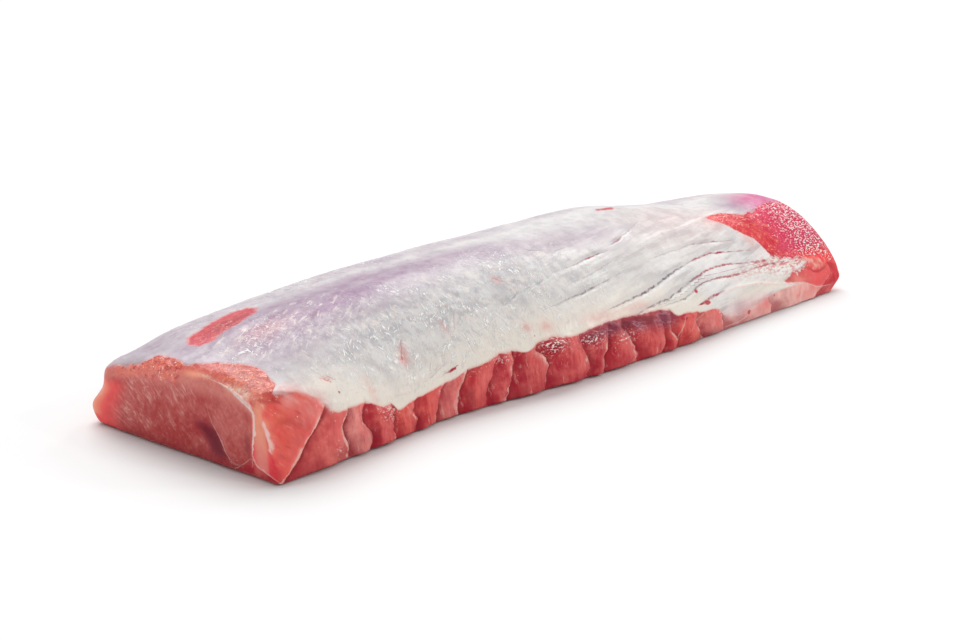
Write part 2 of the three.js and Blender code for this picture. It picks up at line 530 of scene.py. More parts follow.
    def dome(self, along: Array, across: Array) -> Array:
        """Height of the top: from the front wall up to the crown, then down to the back shoulder.

        Args:
            along: Places along the loin.
            across: Share of the width.

        Returns:
            Millimetres over the surface that the loin lies on.
        """
        at, _, _, wall, crown, ridge, shoulder = np.array(self.sections, float).T
        top = curve_through(at, crown, along)
        split = curve_through(at, ridge, along)
        on_front = across < split
        climb = np.where(on_front, across / split, (1.0 - across) / (1.0 - split))
        edge = np.where(on_front, curve_through(at, wall, along), curve_through(at, shoulder, along))
        return edge + (top - edge) * (1.0 - (1.0 - np.clip(climb, 0.0, 1.0)) ** self.dome_power)

    def carry(self, unit: Array) -> Skin:
        """Carry places of the unit box to the loin's surface.

        Args:
            unit: Places on the unit box, one row each.

        Returns:
            The surface there, with the walls' bundles and the sliced corner.
        """
        place, facing = self.slab(unit)
        along, across, up = place[:, 0] * self.length, place[:, 1], place[:, 2]
        at, front, back = np.array(self.sections, float).T[:3]
        height = up * self.dome(along, across)

        lean = self.wall_lean * up * (1.0 - ease(across / self.lean_reach))
        near_cut = 1.0 - ease(along / self.flap_cut_reach)
        flap_out = self.flap_out + (self.flap_out_at_cut - self.flap_out) * near_cut
        flap = flap_out * hump((height - self.flap_height) / self.flap_spread)
        flap = flap * rise(across, self.flap_from, 1.0 - self.flap_from)
        foot = curve_through(at, front, along)
        y = foot + (curve_through(at, back, along) - foot) * across + lean + flap

        lead = self.foot_lead * (1.0 - ease(along / self.foot_lead_reach))
        lead = lead * (1.0 - self.foot_lead_drop * up)
        overhang = self.tail_overhang * ease(up / self.tail_climb) * (1.0 - self.tail_drop * across)
        x = along - lead + overhang * rise(along, self.length - self.tail_reach, self.tail_reach)

        y = y - self.front_relief(along, up, facing)
        y = y + Face.BACK.share(facing) * self.fade(up) * self.back_seams.relief(along, up)
        x = x - Face.CUT.share(facing) * self.fade(up) * self.cut_lobes.relief(across * self.width, up)

        points = columns(x, y, height)
        sliced = self.corner_depth(points)
        points = points - np.maximum(sliced, 0.0)[:, None] * self.corner_normal()
        return Skin(points, along, across, up, facing, sliced)

    def fade(self, up: Array) -> Array:
        """Share of the walls' relief that is left near foot and rim."""
        return ease(up / self.foot_fade) * ease((1.0 - up) / self.relief_fade)

    def front_relief(self, along: Array, up: Array, facing: Array) -> Array:
        """How far the front wall's bundles and lobes stand out, fading at foot and rim.

        Args:
            along: Places along the loin.
            up: Share of the wall's height.
            facing: The way each place faces.

        Returns:
            Millimetres out of the wall.
        """
        stands = self.front_seams.relief(along, up) + self.front_lobes.relief(along, up)
        return Face.FRONT.share(facing) * self.fade(up) * stands

    def corner_normal(self) -> Array:
        """Outward direction of the slanting facet that slices the corner."""
        foot = np.array(self.corner_foot)
        normal = np.cross(np.array(self.corner_on_front) - foot, np.array(self.corner_on_cut) - foot)
        return normal / np.linalg.norm(normal)

    def corner_depth(self, points: Array) -> Array:
        """How far each point stands out of the slanting facet's plane."""
        return (points - np.array(self.corner_foot)) @ self.corner_normal()


# What lies where on the surface


WALL_SPAN = 0.224
WALL_SPAN_REACH = 0.3


@dataclass(frozen=True)
class Patch:
    """A soft round stain: place along, share across or up, reach along, reach across or up, strength."""

    along: float
    across: float
    reach_along: float
    reach_across: float
    strength: float = 1.0

    def on(self, along: Array, across: Array) -> Array:
        """The stain's strength at each place."""
        away = np.hypot((along - self.along) / self.reach_along, (across - self.across) / self.reach_across)
        return self.strength * hump(away)


Patches = tuple[Patch, ...]


def patches(*rows: tuple[float, ...]) -> Patches:
    """Stains from rows of their values."""
    return tuple(Patch(*row) for row in rows)


def stain(spots: Patches, along: Array, across: Array) -> Array:
    """Several stains together: one minus the product of what each leaves clear."""
    clear = [1.0 - np.minimum(spot.on(along, across), 1.0) for spot in spots]
    return 1.0 - np.prod(clear, axis=0)


def span(skin: Skin) -> Array:
    """Share across the top, carried on down the front wall below 0."""
    return skin.across + WALL_SPAN * (skin.up - 1.0) * (1.0 - ease(skin.across / WALL_SPAN_REACH))


@dataclass(frozen=True)
class Membrane:
    """The pale membrane over the top: its edges, its grooves, its veins and the threads beside it."""

    width: float = 125.0
    front_girth: float = 28.0
    back_girth: float = 45.0
    back_turn: float = 0.9
    back_low: float = 0.36
    back_rise: float = 0.46
    back_pitch: float = 34.0
    back_seed: int = 3
    tail_end: float = 447.0
    tail_face_drop: float = 12.0
    under_drop: float = 60.0
    # Waves of the edge at the tail: height in millimetres and turns across
    tail_waves: Outline = ((1.6, 21.0), (1.0, 57.0))
    # Edge on the front wall: place along, share of the wall's height
    front_edge: Outline = (
        (18, 1.3), (24, 1.15), (29, 1.0), (34, 0.84), (42, 0.8), (54, 0.86), (62, 0.84), (70, 0.76),
        (78, 0.74), (82, 0.6), (92, 0.67), (108, 0.71), (123, 0.73), (133, 0.81), (148, 0.87), (159, 0.93),
        (168, 0.91), (178, 0.84), (186, 0.93), (197, 0.97), (208, 0.9), (216, 0.87), (224, 0.94),
        (250, 0.98), (283, 0.98), (292, 0.93), (297, 0.78), (306, 0.8), (318, 0.72), (334, 0.68),
        (342, 0.4), (356, 0.26), (372, 0.34), (384, 0.52), (394, 0.62), (407, 0.7), (420, 0.68),
        (440, 0.42),
    )
    # Edge beside the cut end: share across, place along
    cut_edge: Outline = (
        (0.0, 26), (0.018, 17), (0.04, 13), (0.071, 12), (0.09, 8), (0.11, 9.5), (0.13, 13), (0.172, 14),
        (0.222, 15.5), (0.294, 14), (0.359, 11), (0.415, 9), (0.489, 6), (0.534, 4.2), (0.55, 3.4),
        (0.572, 4.0), (0.631, 5.5), (0.694, 6.2), (0.748, 6), (0.765, 3.4), (0.8, 1.8), (0.88, 1.3),
        (1.0, 1.2),
    )
    # Raw red window through the membrane: place along, share across
    window: Outline = (
        (17, 0.61), (23, 0.578), (31, 0.594), (40, 0.588), (49, 0.61), (57, 0.63), (63, 0.684), (61, 0.724),
        (54, 0.75), (43, 0.742), (32, 0.728), (22, 0.724), (17, 0.67),
    )
    # Where the membrane was trimmed off the tail: place along, span
    tail_bare: Outline = (
        (377, 0.362), (385, 0.378), (394, 0.375), (400, 0.35), (406, 0.325), (416, 0.33), (426, 0.355),
        (436, 0.37), (446, 0.385), (480, 0.4), (480, -0.2), (441, -0.145), (430, -0.13), (420, -0.066),
        (407, -0.042), (404, -0.018), (412, 0.002), (424, 0.018), (427, 0.045), (415, 0.072), (404, 0.09),
        (402, 0.127), (399, 0.18), (394, 0.209), (389, 0.25), (385, 0.298),
    )
    # Dark grooves: place along, span and strength
    grooves: Lines = (
        ((193, 0.174, 0.2), (210, 0.198, 0.45), (218, 0.209, 0.2)),
        ((224, 0.228, 0.2), (240, 0.236, 0.5), (255, 0.258, 0.7), (265, 0.268, 0.8), (275, 0.275, 0.3)),
        ((279, 0.3, 0.3), (290, 0.322, 0.8), (306, 0.369, 0.45), (322, 0.422, 0.3)),
        ((230, 0.161, 0.2), (249, 0.181, 0.35), (268, 0.214, 0.3), (281, 0.224, 0.15)),
        ((200, 0.085, 0.15), (218, 0.101, 0.4), (239, 0.119, 0.9), (259, 0.144, 0.4), (270, 0.161, 0.3)),
        ((240, 0.03, 0.2), (259, 0.05, 0.8), (282, 0.071, 1.0), (295, 0.088, 1.0), (306, 0.109, 1.0),
         (319, 0.127, 0.8), (332, 0.144, 0.5), (342, 0.154, 0.3)),
        ((246, -0.02, 0.2), (262, -0.002, 0.4), (280, 0.019, 0.8), (295, 0.029, 0.8), (313, 0.056, 1.0),
         (323, 0.073, 0.8), (339, 0.093, 0.3)),
        ((285, 0.007, 0.2), (309, 0.015, 0.7), (326, 0.048, 0.7), (340, 0.058, 0.5), (351, 0.056, 0.3)),
        ((300, 0.19, 0.2), (321, 0.205, 0.4), (332, 0.209, 0.4), (344, 0.223, 0.6), (363, 0.209, 0.6),
         (379, 0.195, 0.2)),
        ((225, 0.39, 0.9), (229, 0.37, 0.6)),
        ((237, 0.338, 0.5), (249, 0.348, 0.3)),
        ((100, -0.015, 0.1), (112, -0.01, 0.35), (125, 0.012, 0.1)),
        ((150, 0.21, 0.2), (156, 0.235, 0.6)),
        ((176, 0.14, 0.2), (186, 0.16, 0.5), (194, 0.185, 0.2)),
        ((22, 0.34, 0.1), (34, 0.39, 0.35), (48, 0.45, 0.4), (60, 0.49, 0.1)),
        ((19, 0.43, 0.1), (31, 0.47, 0.4), (45, 0.52, 0.35), (57, 0.55, 0.1)),
        ((30, 0.27, 0.1), (46, 0.33, 0.3), (62, 0.38, 0.1)),
        ((50, 0.41, 0.1), (66, 0.45, 0.35), (84, 0.47, 0.1)),
        ((70, 0.3, 0.1), (88, 0.34, 0.3), (104, 0.36, 0.1)),
        ((205, 0.76, 0.2), (232, 0.79, 0.6), (262, 0.8, 0.5), (296, 0.83, 0.2)),
        ((238, 0.87, 0.2), (274, 0.89, 0.7), (312, 0.92, 0.3)),
        ((300, 0.76, 0.2), (331, 0.79, 0.6), (362, 0.8, 0.3)),
        ((92, 0.86, 0.2), (121, 0.88, 0.5), (150, 0.91, 0.2)),
    )
    # Red veins: place along, span and strength
    veins: Lines = (
        ((332, 0.144, 0.3), (342, 0.154, 0.9), (352, 0.159, 0.7), (362, 0.152, 1.0), (371, 0.146, 0.6),
         (388, 0.135, 0.4)),
        ((323, 0.073, 0.3), (339, 0.093, 1.0), (352, 0.1, 0.7), (361, 0.1, 1.0), (377, 0.087, 0.5),
         (398, 0.079, 0.9)),
        ((326, 0.048, 0.3), (340, 0.058, 0.5), (361, 0.053, 0.9), (373, 0.058, 0.5), (395, 0.062, 0.8),
         (410, 0.06, 0.8)),
        ((319, -0.026, 0.9), (326, -0.012, 1.5), (337, -0.002, 1.0), (345, 0.004, 0.5)),
        ((344, 0.223, 0.1), (363, 0.209, 0.4), (379, 0.195, 0.2)),
        ((145, 0.165, 0.3), (140, 0.115, 0.6)),
        ((104, 0.135, 0.25), (98, 0.08, 0.6)),
        ((119, -0.026, 0.4), (128, -0.012, 1.3)),
        ((186, 0.265, 0.6), (189, 0.245, 0.4)),
        ((38, 0.09, 0.3), (42, 0.068, 0.55)),
        ((42, 0.094, 0.2), (45, 0.076, 0.5)),
        ((194, 0.23, 0.5), (199, 0.205, 0.3)),
        ((254, 0.257, 0.4), (259, 0.262, 1.0), (265, 0.268, 0.4)),
        ((285, 0.312, 0.4), (291, 0.325, 0.9), (297, 0.342, 0.3)),
        ((331, 0.79, 0.3), (362, 0.8, 0.9), (390, 0.79, 0.4)),
        ((140, 0.8, 0.3), (146, 0.84, 0.7)),
    )
    # Pale threads and fat lines over the front wall: place along, span and strength
    threads: Lines = (
        ((334, -0.026, 0.4), (347, 0.001, 0.9), (358, 0.008, 1.0), (381, 0.001, 1.2), (396, -0.025, 1.3),
         (412, -0.047, 0.9), (420, -0.066, 0.5), (430, -0.13, 0.5), (441, -0.143, 0.4)),
        ((341, -0.205, 0.3), (355, -0.2, 0.45), (362, -0.18, 0.4), (366, -0.15, 0.2)),
        ((296, -0.16, 0.2), (300, -0.11, 0.45), (303, -0.06, 0.2)),
        ((305, -0.15, 0.15), (314, -0.1, 0.35), (324, -0.06, 0.2)),
        ((84, -0.022, 0.5), (90, -0.02, 1.0), (95, -0.03, 0.4)),
    )

    def girth(self, skin: Skin) -> Array:
        """Distance round the loin from the front's foot, over the top and down the back.

        Args:
            skin: Places on the surface.

        Returns:
            Millimetres.
        """
        down = (1.0 - skin.up) * (self.front_girth + self.back_girth)
        down = down * rise(skin.across, self.back_turn, 1.0 - self.back_turn)
        return skin.up * self.front_girth + skin.across * self.width + down

    def front_gap(self, skin: Skin) -> Array:
        """Distance up round the front from the membrane's front edge, in millimetres."""
        at, share = np.array(self.front_edge, float).T
        return self.girth(skin) - curve_through(at, share, skin.along) * self.front_girth

    def extent(self, skin: Skin) -> Array:
        """Distance in from the membrane's edge, in millimetres, negative where the meat is bare.

        Args:
            skin: Places on the surface.

        Returns:
            The least of the distances to the edges on all sides and to the two bare patches.
        """
        along, across, width = skin.along, skin.across, self.width
        share, place = np.array(self.cut_edge, float).T
        line = columns(along / self.back_pitch, 0.0 * along, 0.0 * along)
        back_edge = self.back_low + self.back_rise * Grain(self.back_seed).layered(line, 4)
        back_girth = skin.up * self.back_girth + (1.0 - across) * width
        waves = sum(height * np.sin(across * turns) for height, turns in self.tail_waves)
        tail_edge = self.tail_end + waves - along - self.tail_face_drop * Face.TAIL.share(skin.facing)
        gaps = [
            self.front_gap(skin),
            back_girth - back_edge * self.back_girth,
            along - curve_through(share, place, across),
            tail_edge,
            -inside_distance(self.window, along, across, width),
            -inside_distance(self.tail_bare, along, span(skin), width),
        ]
        return np.min(gaps, axis=0) - self.under_drop * Face.UNDER.share(skin.facing)

    def beside(self, lines: Lines, skin: Skin) -> Array:
        """Side, distance and strength of the nearest of some lines on the top and the front wall."""
        return nearest_line(lines, skin.along, span(skin) * self.width, (1.0, self.width))


@dataclass(frozen=True)
class CutEnd:
    """Muscle boundaries of the end faces: share across, climb in heights (over 10 at the tail), strength."""

    width: float = 125.0
    height: float = 45.0
    # The first line bounds the sliced corner from this point on
    fat_from: int = 5
    lines: Lines = (
        ((0.5, 0.93, 0.0), (0.42, 0.97, 0.1), (0.35, 0.97, 0.35), (0.27, 0.955, 1.2), (0.2, 0.895, 2.4),
         (0.15, 0.86, 2.6), (0.12, 0.82, 1.8), (0.116, 0.72, 1.3), (0.116, 0.62, 1.7), (0.123, 0.51, 1.4),
         (0.133, 0.39, 0.9), (0.14, 0.26, 0.4), (0.117, 0.17, 0.6), (0.067, 0.12, 0.5), (0.0, 0.07, 0.3)),
        ((0.395, 0.68, 0.1), (0.367, 0.5, 0.25), (0.334, 0.38, 0.45), (0.303, 0.27, 0.45),
         (0.262, 0.14, 0.3), (0.238, 0.02, 0.3)),
        ((0.14, 0.25, 0.25), (0.19, 0.13, 0.3), (0.238, 0.04, 0.2)),
        ((0.22, 10.1, 0.8), (0.26, 10.4, 1.3), (0.33, 10.7, 1.4), (0.45, 10.95, 0.6)),
        ((0.62, 10.08, 0.4), (0.636, 10.2, 0.7), (0.638, 10.35, 0.9), (0.622, 10.48, 0.7),
         (0.59, 10.6, 0.3)),
        ((0.83, 10.15, 0.3), (0.806, 10.32, 0.6), (0.8, 10.48, 0.8), (0.814, 10.62, 0.6),
         (0.85, 10.75, 0.2)),
    )

    def beside(self, skin: Skin) -> Array:
        """Side, distance and strength of the nearest boundary."""
        climb = skin.up * self.height + skin.along
        return nearest_line(self.lines, skin.across * self.width, climb, (self.width, self.height))

    def behind_pale(self, skin: Skin) -> Array:
        """Share across behind the pale boundary of the middle muscle."""
        across, up, _ = np.array(self.lines[1][::-1]).T
        return skin.across - np.interp(skin.up, up, across)

    def behind_fat(self, skin: Skin) -> Array:
        """Share across behind the fat seam, which bounds the sliced corner."""
        across, up, _ = np.array(self.lines[0][self.fat_from :][::-1]).T
        return skin.across - np.interp(skin.up, up, across)


@dataclass(frozen=True)
class Colouring:
    """Where the membrane and the meat change tone, in stains by place along and span."""

    lilac: Patches = patches(
        (36, 0.36, 34, 0.17, 0.72), (90, 0.43, 52, 0.13, 0.9), (150, 0.52, 50, 0.11, 0.65),
        (50, 0.58, 50, 0.13, 0.65), (110, 0.57, 40, 0.1, 0.5), (192, 0.48, 30, 0.1, 0.45),
        (240, 0.42, 40, 0.1, 0.35), (275, 0.38, 40, 0.1, 0.28), (14, 0.66, 12, 0.1, 0.6),
        (406, 0.42, 12, 0.05, 0.4), (424, 0.42, 13, 0.1, 0.9), (442, 0.45, 20, 0.16),
        (432, 0.37, 20, 0.06), (357, -0.11, 5, 0.05, 0.45), (42, 0.44, 12, 0.05, 0.6),
    )
    blush: Patches = patches(
        (98, 0.075, 3.0, 0.02, 0.9), (102, 0.1, 2.4, 0.025, 0.6), (41, 0.075, 3.4, 0.014, 0.5),
        (40, 0.43, 14, 0.06, 0.4), (134, 0.125, 1.6, 0.03, 0.5), (186, 0.26, 2.2, 0.022, 0.6),
        (66, 0.0, 3.0, 0.05, 0.35), (183, 0.045, 2.4, 0.014, 0.8), (195, 0.03, 5.0, 0.02, 0.55),
        (236, 0.018, 16, 0.02, 0.5), (268, 0.022, 12, 0.02, 0.45), (352, 0.4, 40, 0.2, 0.2),
        (380, 0.33, 10, 0.05, 0.6), (395, 0.185, 6, 0.06, 0.6), (366, -0.13, 18, 0.07, 0.55),
        (14, 0.085, 9, 0.03, 0.8), (26, 0.0, 8, 0.05, 0.7),
    )
    fringe: Patches = patches(
        (423, 0.05, 9, 0.03), (410, 0.048, 12, 0.035), (394, 0.06, 12, 0.03, 0.8),
        (374, 0.052, 16, 0.022, 0.5),
    )
    blood: Patches = patches(
        (126, -0.018, 2.0, 0.01, 0.8), (302, -0.062, 3.2, 0.022), (326, -0.023, 3.8, 0.014),
        (321, 0.03, 2.0, 0.012, 0.9), (365, -0.158, 2.6, 0.018, 0.9), (392, -0.1, 1.8, 0.02, 0.65),
        (319, 0.592, 14.0, 0.026, 0.8), (182, 0.045, 1.2, 0.009, 0.7), (185, 0.011, 1.0, 0.008, 0.7),
        (44, 0.02, 1.4, 0.008, 0.8),
    )
    # Fat line that bounds the tail's red corner: place along, span
    tail_line: Outline = (
        (396, -0.025), (412, -0.047), (420, -0.066), (430, -0.13), (441, -0.143),
    )
    # Tongue of meat that stands up at the tail's corner: place along, span
    tongue: Outline = (
        (424, 0.058), (428, 0.064), (433, 0.06), (437, 0.048), (439, 0.028), (438, 0.008), (434, -0.004),
        (430, 0.0), (427, 0.016), (424, 0.035),
    )
    # Darker streaks of the sliced corner
    streaks: Patches = patches(
        (9, -0.03, 4, 0.012, 0.35), (14, -0.05, 4, 0.012, 0.4), (19, -0.075, 4, 0.014, 0.35),
        (12, -0.1, 4, 0.02, 0.2),
    )
    # Painted highlight, a wet gleam, of the sliced corner: share across, share of height
    gleam: Patches = patches(
        (0.05, 0.76, 0.016, 0.07, 0.8), (0.036, 0.66, 0.016, 0.08), (0.024, 0.55, 0.014, 0.07, 0.9),
        (0.036, 0.44, 0.016, 0.035, 0.6),
    )
    # Bright meat round the gleam: share across, share of height
    glow: Patches = patches(
        (0.03, 0.82, 0.03, 0.11, 0.9), (0.024, 0.64, 0.026, 0.13, 0.8), (0.022, 0.48, 0.024, 0.09, 0.6),
    )
    # Frayed cream fat over the cut end: share across, climb in heights
    frayed: Patches = patches(
        (0.25, 0.97, 0.05, 0.05, 0.9), (0.19, 0.97, 0.04, 0.07), (0.14, 0.93, 0.025, 0.09),
        (0.42, 0.99, 0.05, 0.025, 0.7),
    )
    # Brown blotches of the trimmed top: share across, climb in heights
    mottled: Patches = patches(
        (0.25, 1.17, 0.06, 0.08), (0.18, 1.14, 0.05, 0.08, 0.8), (0.33, 1.2, 0.05, 0.06, 0.6),
    )
    # Dark film over the top of the front wall
    film: Patches = patches(
        (236, -0.03, 16, 0.036), (262, -0.036, 16, 0.038), (286, -0.045, 13, 0.05),
    )
    # Wet beaded lobes of the front wall, raw grain that gets painted glints
    beads: Patches = patches(
        (74, -0.09, 8, 0.045), (195, -0.035, 13, 0.04), (224, -0.06, 10, 0.035),
        (252, -0.09, 12, 0.03, 0.9), (160, -0.04, 9, 0.025, 0.7), (137, -0.05, 8, 0.025, 0.6),
        (36, -0.17, 5, 0.03, 0.6), (310, -0.17, 9, 0.03, 0.4),
    )
    # Dark red lobes of the front wall
    dark: Patches = patches(
        (74, -0.1, 6, 0.045, 0.35), (195, -0.035, 12, 0.036, 0.6), (224, -0.055, 9, 0.03, 0.6),
        (246, -0.03, 16, 0.025, 0.95), (280, -0.04, 15, 0.03, 0.9), (62, -0.18, 4, 0.06, 0.7),
        (95, -0.19, 4, 0.04, 0.8), (38, -0.19, 7, 0.035, 0.6), (134, -0.16, 4, 0.06, 0.5),
        (170, -0.1, 5, 0.08, 0.4), (324, -0.21, 14, 0.025, 0.9),
    )
    # Creamy stretches of the membrane
    cream: Patches = patches(
        (40, 0.03, 20, 0.1, 0.8), (385, -0.03, 40, 0.05, 0.9), (300, 0.2, 90, 0.2, 0.2),
    )
    # Crinkled stretches of the membrane
    crinkles: Patches = patches(
        (125, 0.18, 75, 0.2), (205, 0.25, 50, 0.2, 0.7), (40, 0.4, 26, 0.14, 0.9),
        (110, 0.84, 60, 0.14, 0.8), (260, 0.86, 70, 0.12, 0.6), (41, 0.44, 13, 0.05),
    )
    # Warm meat of the front wall near the tail
    warm: Patches = patches((318, -0.08, 20, 0.04), (300, -0.16, 10, 0.045, 0.5))
    # Fresh red band where the tail was trimmed
    band: Patches = patches(
        (384, 0.35, 8, 0.035), (392, 0.29, 10, 0.05), (400, 0.22, 9, 0.05), (407, 0.15, 7, 0.05),
    )
    # Meat in the membrane's window
    window: Patches = patches((40, 0.64, 26, 0.09))
    # Ledge below the tail's corner
    ledge: Patches = patches((414, -0.03, 14, 0.035))
    # Greyish pink meat over the sliced corner
    grey_pink: Patches = patches((24, -0.015, 8, 0.04, 0.8), (13, 0.035, 5, 0.03, 0.8))
    # Bright fat at the middle of the cut end's top: share across, climb in heights
    bright: Patch = Patch(0.49, 0.97, 0.05, 0.05, 0.9)
    cream_reach: float = 15.0
    hidden_pitch: float = 38.0
    hidden_lilac: float = 0.7

    def tints(self, skin: Skin, membrane: Membrane, grain: Grain) -> Array:
        """Shares of lilac, cream and blush in the membrane.

        Args:
            skin: Places on the surface.
            membrane: The membrane they are on.
            grain: Noise that mottles the hidden side.

        Returns:
            Three shares for each place.
        """
        along, over = skin.along, span(skin)
        behind = rise(skin.across, 0.6, 0.15) * grain.layered(skin.points / self.hidden_pitch)
        lilac = np.maximum(stain(self.lilac, along, over), self.hidden_lilac * behind)
        cream = hump(np.maximum(membrane.front_gap(skin), 0.0) / self.cream_reach)
        cream = np.maximum(cream * plateau(along, 28, 330, 30), stain(self.cream, along, over))
        return columns(lilac, cream, stain(self.blush, along, over))

    def flecks(self, skin: Skin) -> Array:
        """Shares of crinkled membrane, of blood spots and of the shredded fringe at the tail."""
        spots = (self.crinkles, self.blood, self.fringe)
        return columns(*(stain(kind, skin.along, span(skin)) for kind in spots))

    def meat(self, skin: Skin, form: LoinForm, cut_end: CutEnd) -> dict[str, Array]:
        """Shares of the bare meat's tones.

        Args:
            skin: Places on the surface.
            form: The loin's form, for its seams.
            cut_end: The cut end, for its boundaries.

        Returns:
            Named shares from 0 to 1, with raw the share of wet raw grain.
        """
        along, across, up, over = skin.along, skin.across, skin.up, span(skin)
        sides = (Face.FRONT, Face.BACK, Face.CUT, Face.TAIL, Face.TOP)
        front, back, cut, tail, top = (side.share(skin.facing) for side in sides)
        front_phase = form.front_seams.read(along, up)[0]
        back_phase = form.back_seams.read(along, up)[0]
        fore = np.maximum(front, fall(across, 0.04, 0.08) * (1.0 - cut) * (1.0 - tail))
        tones = fore[:, None] * form.front_seams.tones(front_phase)
        tones = tones + back[:, None] * form.back_seams.tones(back_phase)
        line_along, line_over = np.array(self.tail_line).T
        above = rise(over, np.interp(along, line_along, line_over), 0.02) * rise(along, 396, 8)
        tones[:, 2] = tones[:, 2] * (1.0 - above)

        # The cut end and the sliced corner
        behind_fat, gap = cut_end.behind_fat(skin), cut_end.behind_pale(skin)
        before_fat = cut * fall(behind_fat, 0.0, 0.012)
        corner = np.max([ease(skin.sliced), before_fat, front * (front_phase < 1.0)], axis=0)
        corner_left = before_fat * plateau(across, 0.06, 0.12, 0.03)
        wedge = cut * rise(gap, 0.002, 0.014) * ease((0.145 - gap) / 0.06) * plateau(up, 0.09, 0.45, 0.2)
        flap = rise(across, 0.83, 0.13) * fall(up, 0.6, 0.25) * fall(along, 6, 40)
        # Painted glow of light through the flap's thin rim
        rim_glow = flap * rise(across, 0.917, 0.065) * rise(up, 0.1, 0.12)
        shade = cut * fall(up, 0.0, 0.22) * (1.0 - corner) * (1.0 - flap)
        beside_fat = cut * plateau(behind_fat, 0.0, 0.05, 0.05) * plateau(up, 0.25, 0.5, 0.15)
        # Painted light: the cut end lighter near its top, where it rounds over to face up
        upper_light = cut * rise(up, 0.72, 0.2) * (1.0 - corner)
        toe = cut * ease((0.24 - across - 0.42 * up) / 0.02) * ease((0.25 - up) / 0.04)
        facet_edge = 0.8 * before_fat * plateau(across, 0.05, 0.125, 0.03) * rise(up, 0.2, 0.4)
        facet_edge = np.maximum(facet_edge, corner * cut * stain(self.glow, across, up))
        # Painted highlight on the sliced corner
        gleaming = stain(self.gleam, across, up)
        gleam = corner * gleaming * cut + before_fat * gleaming
        grey_pink = stain(self.grey_pink, along, over)

        # The trimmed top beside the cut end
        cut_top = fall(along, 12, 8) * plateau(across, 0.06, 0.545, 0.04) * rise(up, 0.86, 0.1)
        speckled = cut_top * plateau(across, 0.08, 0.34, 0.08)
        strip = fall(along, 6, 4) * plateau(across, 0.56, 0.92, 0.05) * rise(up, 0.78, 0.1)
        near_cut = np.maximum(cut, fall(along, 10, 6)) * (1.0 - corner)
        climb = up + along / form.wall_height
        window = stain(self.window, along, over) * top

        # The tail
        tongue = inside_distance(self.tongue, along, over, form.width)
        knob = ease(tongue / 3.0 + 0.4) * np.max([top, tail, front], axis=0)
        ledge = stain(self.ledge, along, over)
        band = stain(self.band, along, over)
        tail_end = rise(along, 416, 14) * fall(over, 0.05, 0.06) * (1.0 - 0.8 * tail)
        sunk = 0.045 - 0.05 * rise(along, 410, 14)
        tail_grain = rise(along, 376, 8) * rise(over, sunk, 0.03) * np.maximum(top, tail)
        tail_grain = tail_grain * (0.7 + 0.3 * rise(along, 416, 14)) * (1.0 - tail) * (1.0 - 0.55 * band)
        tail_dense = rise(along, 414, 18) * rise(over, 0.02, 0.05) * (1.0 - tail)

        # The walls
        # Painted shade: the walls darker near the foot
        foot = 0.4 * fall(up, 0.0, 0.14) * np.maximum(front, back) * (1.0 - flap)
        dark = fore * stain(self.dark, along, over)
        warm = front * stain(self.warm, along, over)
        lobes = fore * stain(self.beads, along, over)

        deep = np.max([tones[:, 0], 0.4 * wedge, 0.35 * shade, 0.5 * beside_fat, foot, dark], axis=0)
        deep = deep * (1.0 - corner * rise(up, 0.1, 0.1))
        deep = np.maximum(deep, corner * stain(self.streaks, along, over))
        rose = rise(along, 404, 12) * np.maximum(top, tail) * (1.0 - band) * (1.0 - knob)
        rose = np.maximum(rose, 0.75 * window) * (1.0 - tail_end) * (1.0 - ledge) * (1.0 - 0.85 * tail)
        brown = cut * (1.0 - corner) * (1.0 - flap) * (1.0 - 0.8 * wedge) * (1.0 - toe)
        warmed = [tones[:, 1], 0.1 * corner, 0.7 * corner_left, 0.5 * flap, warm, cut_top, strip]
        faded = [tones[:, 2], 0.6 * grey_pink, 0.1 * speckled, 0.3 * ledge, 0.3 * upper_light]
        most = {
            "deep": [deep, 0.36 * cut_top * top, 0.7 * window, 0.42 * strip * top, 0.24 * band * top],
            "orange": [*warmed, 0.7 * ledge, 0.6 * upper_light],
            "pale": [*faded, 0.35 * corner_left],
            "rose": [rose],
            "brown": [brown, tail * rise(over, 0.06, 0.12)],
            "raw": [strip, 0.8 * speckled, 0.35 * cut_top, tail_grain, lobes, 0.4 * window],
            "red": [0.8 * corner, flap, 0.8 * top * band, tail_end, 0.75 * window, 0.5 * strip],
            "peach": [rim_glow, facet_edge, near_cut * self.bright.on(across, climb)],
            "knob": [knob],
            "maroon": [wedge],
            "dense": [tail_dense, lobes],
            "tongue": [0.5 + tongue / 4.0],
            "film": [fore * stain(self.film, along, over)],
            "gleam": [gleam],
            "facet": [ease(skin.sliced) * (1.0 - before_fat)],
            "frayed": [near_cut * stain(self.frayed, across, climb)],
            "mottled": [near_cut * stain(self.mottled, across, climb)],
        }
        return {name: np.clip(np.max(shares, axis=0), 0.0, 1.0) for name, shares in most.items()}


# Shader maths


